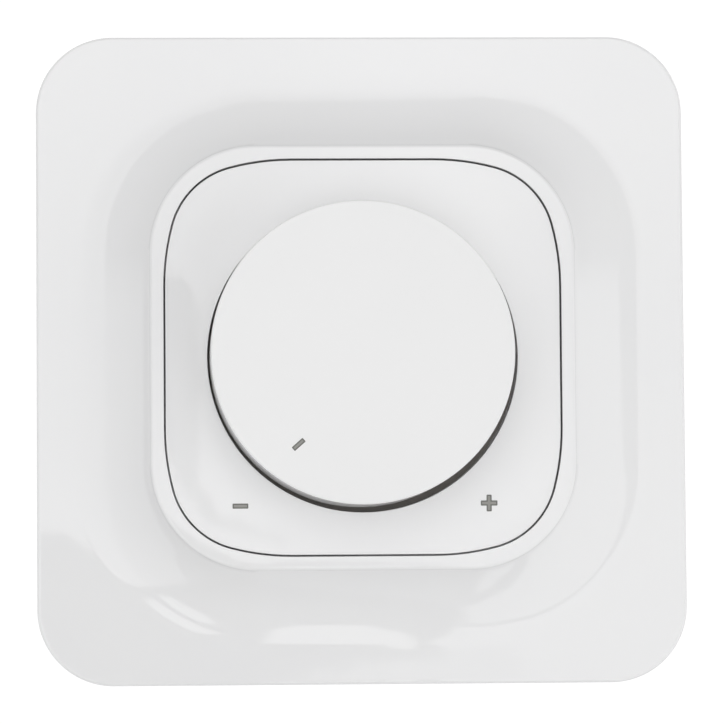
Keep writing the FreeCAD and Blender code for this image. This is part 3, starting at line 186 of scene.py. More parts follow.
# grey paint in the engraved marks, light in the middle; the darker grey along the edge is painted shade
# of the groove's walls
markPaint = mouldedSkin("markInfillPaint", "#999994", "#918f8a", 0.55, 0.004)
# painted shade: the darker grey along the edge of each mark
markEdgePaintedShade = mouldedSkin("markGrooveEdgePaintedShade", "#686864", "#72726e", 0.55, 0.004)
# painted shade: a dull warm grey for a ring that stands where the gap under the knob's rim is in shade,
# not quite black
gapPaintedShadeGrey = mouldedSkin("gapPaintedShadeGreyMoulded", "#a09b97", "#a8a39f", 0.7, 0.004)

slotMaterials = {
    # the switch's body behind the wall: glass-filled nylon, light grey with a faint sheen
    "grey_plastic": mouldedSkin("greyNylonMoulded", "#9da1a4", "#94999d", 0.38, 0.0018),
    # thermoset of the chip and the switch: nearly black, with a broad highlight
    "black_plastic": mouldedSkin("blackPolyesterMoulded", "#1d1e20", "#232527", 0.42, 0.0018),
    # creamy and slightly waxy
    "white_nylon": mouldedSkin("naturalNylonMoulded", "#e3dfd2", "#dad7cc", 0.36, 0.001),
    # brown laminate with a dull black track
    "resistor_board": mouldedSkin("carbonTrackOnPaperLaminate", "#4b3a2c", "#2f2a28", 0.5, 0.002),
    # green under clear lacquer
    "board": mouldedSkin("glassEpoxyBoardLacquered", "#2f6b48", "#2a5f41", 0.28, 0.002),
    "capacitor_plastic": mouldedSkin("polyesterCapacitorCase", "#c8a227", "#bd9a2b", 0.3, 0.001),
    "white_plastic": glossWhite,
    "knob_plastic": satinWhite,
    # bluish grey and cloudy, brighter along the drawing marks
    "zinc_steel": metalSkin("zincPlatedSteelStamped", "#d5d8da", "#b9bec4", 0.24, 0.42),
    "spring_steel": metalSkin("springSteelDrawn", "#b4b6b8", "#9a9c9f", 0.22, 0.34),
    # warm white, the brightest of the metals
    "nickel_brass": metalSkin("nickelPlatedBrassTurned", "#dad3c4", "#c6beae", 0.16, 0.3),
    "brass": metalSkin("brassTurned", "#dfc078", "#c9a658", 0.2, 0.36),
    "tinned_brass": metalSkin("tinnedBrassStamped", "#d9d8d3", "#c2c0b8", 0.3, 0.48),
    "aluminium": metalSkin("aluminiumExtruded", "#d8dadc", "#c5c8cb", 0.28, 0.44),
    # copper red that shines through enamel
    "enamelled_copper": metalSkin("enamelledCopperWire", "#b5552c", "#9c4220", 0.2, 0.32),
    # charcoal and dry, with a coarse grain
    "ferrite": mouldedSkin("ferriteSintered", "#2b2b2d", "#343336", 0.6, 0.004),
}


drawnGlass = {
    "waveLength": 3.0,     # mm
    "waveHeight": 0.002,
    "detail": 2.0,
    "roughness": 0.03,
    "ior": 1.52,
}


def clearGlass():
    # soda-lime glass tube: clear, with a trace of green and slight drawing waves
    looks = drawnGlass
    material, tree = newMaterial("sodaLimeGlassDrawn")
    place = addNode(tree, "ShaderNodeTexCoord", {}).outputs["Object"]
    wave = addNoise(tree, place, looks["waveLength"], looks["detail"])
    shader = addNode(tree, "ShaderNodeBsdfPrincipled",
                     {"Base Color": linear("#eef5f0"), "Roughness": looks["roughness"],
                      "IOR": looks["ior"], "Transmission Weight": 1.0},
                     [(addBump(tree, looks["waveHeight"], wave), "Normal")])
    showSurface(tree, shader)
    return material


slotMaterials["fuse_glass"] = clearGlass()

for subpart in frame["record"]["subparts"]:
    node = frame["nodes"][subpart["node"]]
    node.data.materials.clear()
    node.data.materials.append(slotMaterials[subpart["material_slot"]])
print("materials are set on the nodes")


# Mesh helpers

smoothAngle = 38    # degrees between two faces, above which their edge stays crisp


def turned(x, y, angle):
    cosine, sine = math.cos(angle), math.sin(angle)
    return x * cosine - y * sine, x * sine + y * cosine


def squareStation(outline, grow, height):
    # an outline moved outwards by grow: half width, radius beside the corner, radius of the corner
    return (outline["half"] + grow, outline["sideRadius"] + grow, outline["cornerRadius"] + grow, height)


ringSteps = {
    "easeAngle": 15,    # degrees of the larger arc at each end of a corner
    "corner": 36,       # steps in a quarter turn
    "side": 14,         # steps in a straight side
    "edge": 4,          # steps across a small rounded edge
    "besideEdge": 0.1,  # mm to the ring that keeps the face beside such an edge flat
}


def squareRing(station):
    # the points of one soft square: each corner is three tangent arcs
    half, sideRadius, cornerRadius, height = station
    ease = math.radians(ringSteps["easeAngle"])
    spread = sideRadius - cornerRadius
    far = half - sideRadius
    near = far + spread * (math.cos(ease) - math.sin(ease))
    corner = far + spread * math.cos(ease)
    quarter = []
    for step in range(ringSteps["corner"] + 1):
        angle = fullTurn / 4 * step / ringSteps["corner"]
        if angle < ease:
            centre, radius = (far, near), sideRadius
        elif angle > fullTurn / 4 - ease:
            centre, radius = (near, far), sideRadius
        else:
            centre, radius = (corner, corner), cornerRadius
        quarter.append((centre[0] + radius * math.cos(angle), centre[1] + radius * math.sin(angle)))
    for step in range(1, ringSteps["side"]):
        quarter.append((near - 2 * near * step / ringSteps["side"], half))
    return [(*turned(x, y, fullTurn / 4 * turn), height) for turn in range(4) for x, y in quarter]


def roundRing(radius, height, like, centreX=0.0):
    # a circle whose points lie in the same directions as those of the ring like
    ring = []
    for x, y, _ in like:
        angle = math.atan2(y, x)
        ring.append((centreX + radius * math.cos(angle), radius * math.sin(angle), height))
    return ring


def joinRows(mesh, row, following):
    for at in range(len(row)):
        beside = (at + 1) % len(row)
        mesh.faces.new((row[at], row[beside], following[beside], following[at]))


def closedSkin(mesh, rings):
    # joins each ring to the next and the last to the first
    rows = [[mesh.verts.new(toRow(*place)) for place in ring] for ring in rings]
    for number, row in enumerate(rows):
        joinRows(mesh, row, rows[(number + 1) % len(rows)])


def closedBar(mesh, rings):
    # joins each ring to the next and closes both ends
    rows = [[mesh.verts.new(toRow(*place)) for place in ring] for ring in rings]
    for row, following in zip(rows, rows[1:]):
        joinRows(mesh, row, following)
    mesh.faces.new(rows[0][::-1])
    mesh.faces.new(rows[-1])


def settledMesh(piece):
    # the piece's mesh with its modifiers applied
    return bpy.data.meshes.new_from_object(piece.evaluated_get(bpy.context.evaluated_depsgraph_get()))


def shadeCrisp(data):
    # smooth faces with crisp edges
    data.shade_smooth()
    data.set_sharp_from_angle(angle=math.radians(smoothAngle))


def addPiece(name, mesh, material, body):
    # turns a bmesh into a piece with smooth faces, true flats and crisp edges
    bmesh.ops.recalc_face_normals(mesh, faces=mesh.faces[:])
    data = bpy.data.meshes.new(name)
    mesh.to_mesh(data)
    mesh.free()
    data.materials.append(material)
    shadeCrisp(data)
    piece = bpy.data.objects.new(name, data)
    bpy.context.scene.collection.objects.link(piece)
    if body:
        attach(piece, body)
    return piece


def flattenFaces(piece):
    # keeps flat faces flat beside their rounded edges
    shadeCrisp(piece.data)
    weighted = piece.modifiers.new("flatFaces", "WEIGHTED_NORMAL")
    weighted.keep_sharp = True
    weighted.weight = 60    # over 50 the larger face counts for more
    piece.data = settledMesh(piece)
    piece.modifiers.clear()


def arc(count):
    # the angles of a quarter turn in that many steps, both ends included
    return [math.radians(90 * step / count) for step in range(count + 1)]


# Marks: shallow grooves with grey in them

markSizes = {
    "minusLength": 2.04,  # mm
    "minusWidth": 0.66,
    "plusLength": 2.17,
    "plusWidth": 0.67,
    "dashLength": 1.85,
    "dashWidth": 0.62,
    "cornerRound": 0.1,
    "edgeDepth": 0.06,
    "edgeWidth": 0.16,    # mm, the darker grey along the edge, painted shade of the groove's walls
    "depth": 0.1,
    "minusPlace": (-16.05, -19.28),
    "plusPlace": (16.23, -19.08),
    "dashPlace": (-8.3, -11.76),  # from the knob's axis
    "dashTurn": 41.5,             # degrees, rising to the right
}


squareCorners = [(1, 1), (-1, 1), (-1, -1), (1, -1)]    # going round to the left


def barOutline(length, width, rounding):
    points = []
    for turn, (sideX, sideY) in enumerate(squareCorners):
        for angle in arc(ringSteps["edge"]):
            angle += fullTurn / 4 * turn
            points.append((sideX * (length / 2 - rounding) + rounding * math.cos(angle),
                           sideY * (width / 2 - rounding) + rounding * math.sin(angle)))
    return points


def plusOutline(length, width, rounding):
    # a bar with two arms: half the end of one arm and its mirror image, turned four times
    half = []
    for angle in arc(ringSteps["edge"]):
        half.append((length / 2 - rounding + rounding * math.cos(angle),
                     width / 2 - rounding + rounding * math.sin(angle)))
    points = []
    for turn in range(4):
        points += [turned(x, y, fullTurn / 4 * turn) for x, y in half + [(width / 2, width / 2)]]
        points += [turned(x, -y, fullTurn / 4 * (turn + 1)) for x, y in half[::-1]]
    return points


def engrave(piece, outline, place, turn, surface, depth, material, taper=1.0):
    # cuts the outline into the face at that height and leaves the material in the groove
    mesh = bmesh.new()
    across = [turned(x, y, math.radians(turn)) for x, y in outline]
    layers = [(surface - depth, taper), (surface, 1), (surface + 1, 1)]
    closedBar(mesh, [[(place[0] + share * x, place[1] + share * y, height) for x, y in across]
                     for height, share in layers])
    cutter = addPiece("cutter", mesh, material, None)
    cut = piece.modifiers.new("mark", "BOOLEAN")
    cut.operation = "DIFFERENCE"
    cut.solver = "EXACT"
    cut.material_mode = "TRANSFER"
    cut.object = cutter
    bpy.context.view_layer.update()
    settled = settledMesh(piece)
    piece.modifiers.clear()
    piece.data = settled
    bpy.data.objects.remove(cutter)


def engraveMark(piece, drawOutline, length, width, place, turn, surface):
    # a groove with a step: a darker grey on the step along the edge, painted shade of the groove's
    # walls, and the mark's light grey paint on the floor
    sizes = markSizes
    rounding = sizes["cornerRound"]
    edge = sizes["edgeWidth"]
    engrave(piece, drawOutline(length, width, rounding), place, turn, surface, sizes["edgeDepth"],
            markEdgePaintedShade)
    engrave(piece, drawOutline(length - 2 * edge, width - 2 * edge, rounding / 2), place, turn, surface,
            sizes["depth"], markPaint)


# The cover frame

frameSizes = {
    "outline": {"half": 42.5, "sideRadius": 10.0, "cornerRadius": 10.0},
    "crease": {"half": 38.0, "sideRadius": 24.3, "cornerRadius": 24.3},
    "collar": {"half": 27.7, "sideRadius": 14.0, "cornerRadius": 14.0},
    "land": 4.3,           # height of the flat land
    "edgeRound": 0.4,
    "wallEdgeRound": 0.2,
    "slopeStart": 0,       # degrees, the slope runs out of the land without an edge
    "slopeTop": 9.0,
    "collarTop": 9.5,
    "openingRound": 0.04,
    "seatHeight": 4.4,
    "seatThick": 1.2,
    "seatInset": 1.42,
    "skirtThick": 1.6,
    "wall": 1.8,
    "ribSpread": 19.0,
    "ribThick": 1.2,
    "ribFoot": 1.0,        # height at which the ribs begin
    "ribBack": 3.1,        # how far inside the crease their lower edge begins to rise
    "ribSink": 0.5,        # how far they reach into the skirt
    "besideRound": 0.15,   # the ring that keeps the land flat beside its rounded edge
    "innerBevel": 0.4,     # in the corner between the wall and the land, on the hollow side
    "slopeSteps": 20,
    "hollowSteps": 8,      # of the slope's hollow side
    "ribSteps": 6,         # of a rib's upper edge
}
plateSizes = {
    "outline": {"half": 25.65, "sideRadius": 30.65, "cornerRadius": 10.44},
    "gap": 0.24,           # between the plate and the frame
    "front": 9.2,
    "back": 4.4,
    "edgeRound": 0.05,
    "skin": 1.5,
    "thick": 1.8,
    "wellRadius": 20.2,
    "wellX": -0.05,
    "wellFloor": 6.0,
    "wellWall": 1.5,
    "wellFoot": 4.5,
    "floorRound": 0.25,
    "holeRadius": 5.0,
    "holeBevel": 0.15,
    "knobX": -0.47,
}


def between(first, last, share):
    return tuple(a + (b - a) * share for a, b in zip(first, last))


def slopeStations(inset, count):
    # the hollow slope in section: one arc from the land up to the collar
    sizes = frameSizes
    run = sizes["crease"]["half"] - sizes["collar"]["half"]
    rise = sizes["slopeTop"] - sizes["land"]
    start = math.radians(sizes["slopeStart"])
    turn = 2 * (math.atan2(rise, run) - start)
    radius = math.hypot(run, rise) / (2 * math.sin(turn / 2))
    foot = squareStation(sizes["crease"], -inset, sizes["land"] - inset)
    top = squareStation(sizes["collar"], -inset, sizes["slopeTop"] - inset)
    places = []
    for step in range(count + 1):
        angle = start + turn * step / count
        places.append((radius * (math.sin(angle) - math.sin(start)),
                       radius * (math.cos(start) - math.cos(angle))))
    stations = []
    for along, up in places:
        half, sideRadius, cornerRadius, _ = between(foot, top, along / run)
        stations.append((half, sideRadius, cornerRadius, sizes["land"] - inset + up))
    return stations


def addRib(mesh, turn, shift, inner):
    # a rib on the hollow side, from the outer wall to the skirt around the opening
    sizes = frameSizes
    half = sizes["wall"] / 2
    outline = [(sizes["outline"]["half"] - half, sizes["ribFoot"]),
               (sizes["outline"]["half"] - half, sizes["land"] - half)]
    outline += [(station[0], station[3]) for station in slopeStations(half, sizes["ribSteps"])
                if station[0] > inner]
    outline += [(inner, outline[-1][1]), (inner, sizes["seatHeight"]),
                (sizes["crease"]["half"] - sizes["ribBack"], sizes["ribFoot"])]
    thick = sizes["ribThick"] / 2
    angle = fullTurn / 4 * turn
    closedBar(mesh, [[(*turned(across, along, angle), height) for across, height in outline]
                     for along in (shift - thick, shift + thick)])


def buildFrame():
    sizes = frameSizes
    opening = plateSizes["outline"]
    gap = plateSizes["gap"]
    stations = []
    small = sizes["wallEdgeRound"]
    for angle in arc(3):
        stations.append(squareStation(sizes["outline"], -small * (1 - math.sin(angle)),
                                      small * (1 - math.cos(angle))))
    for angle in arc(8):
        inset = sizes["edgeRound"] * (1 - math.cos(angle))
        stations.append(squareStation(sizes["outline"], -inset,
                                      sizes["land"] - sizes["edgeRound"] * (1 - math.sin(angle))))
    stations.append(squareStation(sizes["outline"], -sizes["edgeRound"] - sizes["besideRound"],
                                  sizes["land"]))
    stations += slopeStations(0, sizes["slopeSteps"])
    roundOver = sizes["collarTop"] - sizes["slopeTop"]
    for angle in arc(6)[1:]:
        stations.append(squareStation(sizes["collar"], -roundOver * (1 - math.cos(angle)),
                                      sizes["slopeTop"] + roundOver * math.sin(angle)))
    small = sizes["openingRound"]
    stations.append(squareStation(opening, gap + small + ringSteps["besideEdge"], sizes["collarTop"]))
    for angle in arc(ringSteps["edge"]):
        stations.append(squareStation(opening, gap + small * (1 - math.sin(angle)),
                                      sizes["collarTop"] - small * (1 - math.cos(angle))))
    skirt = gap + sizes["skirtThick"]
    seatBack = sizes["seatHeight"] - sizes["seatThick"]
    stations.append(squareStation(opening, gap, sizes["seatHeight"]))
    stations.append(squareStation(opening, -sizes["seatInset"], sizes["seatHeight"]))
    stations.append(squareStation(opening, -sizes["seatInset"], seatBack))
    stations.append(squareStation(opening, skirt, seatBack))
    underside = slopeStations(sizes["wall"], sizes["hollowSteps"])
    reached = [station for station in underside if station[0] > opening["half"] + skirt]
    last = underside[len(reached)]
    share = (reached[-1][0] - opening["half"] - skirt) / (reached[-1][0] - last[0])
    stations.append(squareStation(opening, skirt, between(reached[-1], last, share)[3]))
    stations += reached[::-1]
    inner = sizes["land"] - sizes["wall"]
    bevel = sizes["innerBevel"]
    stations.append(squareStation(sizes["outline"], -sizes["wall"] - bevel, inner))
    stations.append(squareStation(sizes["outline"], -sizes["wall"], inner - bevel))
    stations.append(squareStation(sizes["outline"], -sizes["wall"], 0))
    mesh = bmesh.new()
    closedSkin(mesh, [squareRing(station) for station in stations])
    for turn in range(4):
        for shift in (-sizes["ribSpread"], sizes["ribSpread"]):
            addRib(mesh, turn, shift, opening["half"] + skirt - sizes["ribSink"])
    piece = addPiece("frame_shell", mesh, glossWhite, "base")
    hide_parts("frame")
    flattenFaces(piece)


def buildPlate():
    sizes = plateSizes
    outline = sizes["outline"]
    front = sizes["front"]
    edge = sizes["edgeRound"]
    beside = ringSteps["besideEdge"]
    stations = [squareStation(outline, 0, sizes["back"])]
    stations.append(squareStation(outline, 0, front - edge - beside))
    for angle in arc(ringSteps["edge"]):
        stations.append(squareStation(outline, -edge * (1 - math.cos(angle)),
                                      front - edge * (1 - math.sin(angle))))
    stations.append(squareStation(outline, -edge - beside, front))
    rings = [squareRing(station) for station in stations]
    like = rings[0]
    well = sizes["wellRadius"]
    wellX = sizes["wellX"]
    floor = sizes["wellFloor"]
    floorRound = sizes["floorRound"]
    rings.append(roundRing(well + edge + beside, front, like, wellX))
    for angle in arc(ringSteps["edge"]):
        rings.append(roundRing(well + edge * (1 - math.sin(angle)),
                               front - edge * (1 - math.cos(angle)), like, wellX))
    rings.append(roundRing(well, floor + floorRound + beside, like, wellX))
    for angle in arc(3):
        rings.append(roundRing(well - floorRound * (1 - math.cos(angle)),
                               floor + floorRound * (1 - math.sin(angle)), like, wellX))
    hole = sizes["holeRadius"]
    knobX = sizes["knobX"]
    rings.append(roundRing(hole + sizes["holeBevel"], floor, like, knobX))
    rings.append(roundRing(hole, floor - sizes["holeBevel"], like, knobX))
    rings.append(roundRing(hole, sizes["wellFoot"], like, knobX))
    boss = well + sizes["wellWall"]
    under = front - sizes["thick"]
    rings.append(roundRing(boss, sizes["wellFoot"], like))
    rings.append(roundRing(boss, under, like))
    rings.append(squareRing(squareStation(outline, -sizes["skin"], under)))
    rings.append(squareRing(squareStation(outline, -sizes["skin"], sizes["back"])))
    mesh = bmesh.new()
    closedSkin(mesh, rings)
    piece = addPiece("plate_shell", mesh, glossWhite, "base")
    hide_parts("centre_plate")
    marks = markSizes
    engraveMark(piece, barOutline, marks["minusLength"], marks["minusWidth"], marks["minusPlace"], 0,
                front)
    engraveMark(piece, plusOutline, marks["plusLength"], marks["plusWidth"], marks["plusPlace"], 0,
                front)
    flattenFaces(piece)


paintedShadeRingSizes = {
    "outer": 20.1,
    "inner": 17.3,
    "front": 6.2,          # just behind the pushed knob
    "sink": 0.05,          # into the well's floor
    "round": 0.08,
}


def buildPaintedShadeRing():
    # a flat grey ring on the well's floor, painted shade of the gap: the knob's rim hides it but for a
    # dark line
    sizes = paintedShadeRingSizes
    back = plateSizes["wellFloor"] - sizes["sink"]
    rings = []
    like = squareRing(squareStation(plateSizes["outline"], 0, 0))
    rounding = sizes["round"]
    for radius, side in ((sizes["inner"], -1), (sizes["outer"], 1)):
        edge = [(radius, back)] + [(radius - side * rounding * (1 - math.cos(angle)),
                                    sizes["front"] - rounding * (1 - math.sin(angle)))
                                   for angle in arc(3)]
        for reach, height in edge if side < 0 else edge[::-1]:
            rings.append(roundRing(reach, height, like, plateSizes["wellX"]))
    mesh = bmesh.new()
    closedSkin(mesh, rings)
    addPiece("well_painted_shade_ring", mesh, gapPaintedShadeGrey, "base")


knobSizes = {
    "topRadius": 19.43,
    "footRadius": 19.5,
    "top": 19.8,
    "foot": 7.8,
    "round": 0.25,
    "wall": 1.5,
    "faceThick": 1.8,
    "hubRadius": 4.75,
    "hubFoot": 10.4,
    "boreRadius": 3.05,
    "boreFlat": 1.55,
    "boreTop": 17.8,
    "footRound": 0.2,
    "ceilingBevel": 0.4,
    "faceRings": (0, 6, 12, 17, 18.3),    # radii
    "besideRound": 0.3,
    "besideStep": 0.003,   # the rings beside the rounded edges are this much off the cone
    "ribs": 8,
    "ribThick": 1.0,
    "ribDepth": 2.2,
    "ribSink": 0.3,        # how far a rib reaches into the hub and the rim
    "ribRise": 0.5,        # and into the face
    "steps": 192,
}
threadShape = {
    "depth": 0.6,          # of the pitch
    "flank": 1.2,          # the groove is flat where its depth would be over 1
}


def lathe(mesh, profile, centreX, steps, flat=0.0, pitch=1.0):
    # turns a profile of (radius, height, kind) that begins and ends on the axis: a ring of the kind
    # flat is cut off at that distance, one of the kind thread is cut by a groove that climbs by pitch
    rows = []
    for radius, height, kind in profile:
        if radius == 0:
            rows.append([mesh.verts.new(toRow(centreX, 0, height))])
            continue
        row = []
        for step in range(steps):
            angle = fullTurn * step / steps
            reach = radius
            if kind == "thread":
                groove = 1 - abs(2 * ((height / pitch - step / steps) % 1) - 1)
                reach -= threadShape["depth"] * pitch * min(threadShape["flank"] * groove, 1)
            x = reach * math.cos(angle)
            if kind == "flat":
                x = min(x, flat)
            row.append(mesh.verts.new(toRow(centreX + x, reach * math.sin(angle), height)))
        rows.append(row)
    for row, following in zip(rows, rows[1:]):
        for at in range(steps):
            beside = (at + 1) % steps
            corners = [row[at % len(row)], row[beside % len(row)],
                       following[beside % len(following)], following[at % len(following)]]
            mesh.faces.new(list(dict.fromkeys(corners)))


def addKnobRib(mesh, centreX, angle, inner, ceiling):
    # a rib under the knob's face, from the hub to the rim
    sizes = knobSizes
    start, end = sizes["hubRadius"] - sizes["ribSink"], inner + sizes["ribSink"]
    half = sizes["ribThick"] / 2
    outline = [(start, -half), (end, -half), (end, half), (start, half)]
    foot = [turned(*place, angle) for place in outline]
    closedBar(mesh, [[(centreX + x, y, height) for x, y in foot]
                     for height in (ceiling - sizes["ribDepth"], ceiling + sizes["ribRise"])])


def buildKnob():
    sizes = knobSizes
    x = plateSizes["knobX"]
    top, foot = sizes["top"], sizes["foot"]
    rounding, footRound = sizes["round"], sizes["footRound"]
    beside, step = sizes["besideRound"], sizes["besideStep"]
    profile = [(radius, top, "") for radius in sizes["faceRings"]]
    for angle in arc(8):
        profile.append((sizes["topRadius"] - rounding * (1 - math.sin(angle)),
                        top - rounding * (1 - math.cos(angle)), ""))
    profile.append((sizes["topRadius"] + step, top - rounding - beside, ""))
    profile.append((sizes["footRadius"] - step, foot + 2 * footRound, ""))
    for angle in arc(3):
        profile.append((sizes["footRadius"] - footRound * (1 - math.cos(angle)),
                        foot + footRound * (1 - math.sin(angle)), ""))
    inner = sizes["topRadius"] - sizes["wall"]
    ceiling = top - sizes["faceThick"]
    bevel = sizes["ceilingBevel"]
    profile.append((sizes["footRadius"] - sizes["wall"], foot, ""))
    profile.append((inner, ceiling - bevel, ""))
    profile.append((inner - bevel, ceiling, ""))
    profile.append((sizes["hubRadius"], ceiling, ""))
    profile.append((sizes["hubRadius"], sizes["hubFoot"], ""))
    profile.append((sizes["boreRadius"], sizes["hubFoot"], "flat"))
    profile.append((sizes["boreRadius"], sizes["boreTop"], "flat"))
    profile.append((0, sizes["boreTop"], ""))
    mesh = bmesh.new()
    lathe(mesh, profile, x, sizes["steps"], sizes["boreFlat"])
    for face in mesh.faces:
        # the side below the rounded edge, and nothing inside
        middle = face.calc_center_median() / mm
        reach = math.hypot(middle.x - x, middle.z)
        if reach > sizes["topRadius"] - beside and -middle.y < top - rounding:
            face.material_index = 1
    for number in range(sizes["ribs"]):
        addKnobRib(mesh, x, fullTurn * number / sizes["ribs"], inner, ceiling)
    piece = addPiece("knob_cap", mesh, satinWhite, "knob")
    piece.data.materials.append(gripWhite)
    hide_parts("knob")
    marks = markSizes
    engraveMark(piece, barOutline, marks["dashLength"], marks["dashWidth"],
                (marks["dashPlace"][0] + x, marks["dashPlace"][1]), marks["dashTurn"], top)
    flattenFaces(piece)


# Screws with their threads and cross recesses

screwSizes = {
    "claw": {"radius": 1.5, "headRadius": 2.9, "headThick": 1.8, "pitch": 0.5},
    "terminal": {"radius": 1.75, "headRadius": 2.9, "headThick": 2.0, "pitch": 0.6},
    "housing": {"radius": 1.25, "headRadius": 2.4, "headThick": 1.5, "pitch": 0.9},
    "headRound": 0.3,      # of the head's thickness
    "headFlat": 0.8,       # of the head's radius
    "headBevel": 0.1,      # under the head
    "neck": 0.4,           # without a thread
    "tipLength": 0.3,      # of the screw's radius, as the next two
    "tipStart": 0.78,
    "tipEnd": 0.5,
    "recessReach": 0.75,   # of the head's radius
    "recessWidth": 0.24,
    "recessDepth": 0.55,   # of the head's thickness
    "recessTaper": 0.7,
    "recessRound": 0.1,    # mm
    "ringsInTurn": 6,      # of the thread
    "steps": 24,
}


def buildScrew(name, kind, place, front, back, body, node, backward=False):
    # a screw between two heights, made with its head up and its underside at 0, then put in place
    shares = screwSizes
    sizes = shares[kind]
    head, thick, radius = sizes["headRadius"], sizes["headThick"], sizes["radius"]
    length = front - back - thick
    rounding = thick * shares["headRound"]
    bevel, neck = shares["headBevel"], shares["neck"]
    profile = [(0, thick, ""), (head * shares["headFlat"], thick, "")]
    for angle in arc(ringSteps["edge"]):
        profile.append((head - rounding * (1 - math.sin(angle)),
                        thick - rounding * (1 - math.cos(angle)), ""))
    profile += [(head, bevel, ""), (head - bevel, 0, ""), (radius, 0, ""), (radius, -neck, "")]
    rings = int((length - neck - radius * shares["tipEnd"]) / sizes["pitch"] * shares["ringsInTurn"])
    for ring in range(1, rings):
        profile.append((radius, -neck - ring * sizes["pitch"] / shares["ringsInTurn"], "thread"))
    profile += [(radius * shares["tipStart"], radius * shares["tipLength"] - length, ""),
                (radius * shares["tipEnd"], -length, ""), (0, -length, "")]
    mesh = bmesh.new()
    lathe(mesh, profile, 0, shares["steps"], pitch=sizes["pitch"])
    piece = addPiece(name, mesh, slotMaterials["zinc_steel"], body)
    recess = plusOutline(2 * shares["recessReach"] * head, shares["recessWidth"] * head,
                         shares["recessRound"])
    engrave(piece, recess, (0, 0), 0, thick, thick * shares["recessDepth"],
            slotMaterials["zinc_steel"], shares["recessTaper"])
    move = Matrix.Translation(toRow(*place, back + thick if backward else front - thick))
    if backward:
        move = move @ Matrix.Rotation(fullTurn / 2, 4, "X")
    piece.data.transform(move)
    shadeCrisp(piece.data)
    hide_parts(node)


def buildScrews():
    for name in [subpart["node"] for subpart in frame["record"]["subparts"]]:
        if "_screw_" in name:
            low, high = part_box(name)
            middle = (Vector(low) + Vector(high)) / 2 / mm
            buildScrew(name + "_threaded", name.split("_")[0], (middle.x, middle.z), -low[1] / mm,
                       -high[1] / mm, name, name, name.startswith("terminal"))
    low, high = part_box("housing_screws")
    reachX = high[0] / mm - screwSizes["housing"]["headRadius"]
    reachY = high[2] / mm - screwSizes["housing"]["headRadius"]
    for number, (sideX, sideY) in enumerate(squareCorners):
        buildScrew(f"housing_screw_{number + 1}", "housing", (sideX * reachX, sideY * reachY),
                   -low[1] / mm, -high[1] / mm, "base", "housing_screws")


springSizes = {
    "wire": 0.45,
    "turns": 4,
    "endTurn": 0.75,       # at each end lies flat
    "endPitch": 1.1,       # of the wire, so that an end turn never runs into the next
    "stepsInTurn": 32,
    "sides": 10,           # of the wire
    "push": 1.5,           # mm that the knob goes down
}


def buildSpring():
    # the coil spring under the plunger: one wire with flat end turns
    sizes = springSizes
    wire = sizes["wire"]
    low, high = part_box("return_spring")
    middle = (Vector(low) + Vector(high)) / 2 / mm
    length = (high[1] - low[1]) / mm
    radius = ((high[2] - low[2]) / mm - wire) / 2
    foot = -high[1] / mm + wire / 2
    turns = sizes["turns"] + 2 * sizes["endTurn"]
    flatClimb = wire * sizes["endPitch"]
    count = round(turns * sizes["stepsInTurn"])
    rings = []
    for step in range(count + 1):
        turn = turns * step / count
        share = min(max((turn - sizes["endTurn"]) / sizes["turns"], 0), 1)
        height = foot + flatClimb * turn + (length - wire - flatClimb * turns) * share
        ring = []
        for side in range(sizes["sides"]):
            around = fullTurn * side / sizes["sides"]
            x, y = turned(radius + wire / 2 * math.cos(around), 0, fullTurn * turn)
            ring.append((middle.x + x, middle.z + y, height + wire / 2 * math.sin(around)))
        rings.append(ring)
    mesh = bmesh.new()
    closedBar(mesh, rings)
    piece = addPiece("return_spring_coil", mesh, slotMaterials["spring_steel"], "base")
    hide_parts("return_spring")
    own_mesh(piece)


buildFrame()
buildPlate()
buildPaintedShadeRing()
buildKnob()
print("the frame, the centre plate, the seal and the knob are built")
buildScrews()
buildSpring()
print("the screws and the spring are built")


# Light and camera

tent = {
    "front": 0.39,       # level of the light tent in front of the object
    "above": 0.17,       # added straight above, nothing at the horizon
    "back": 1.12,        # level of the white cloth behind the object
    "backStart": 0.1,    # where it starts: the part of a direction that leads backwards
    "backFull": 0.3,
    "backdrop": 1.05,    # how bright the camera sees it
    "floorDrop": 120,    # mm
    "floorRadius": 1200,
    "floorSteps": 96,
}
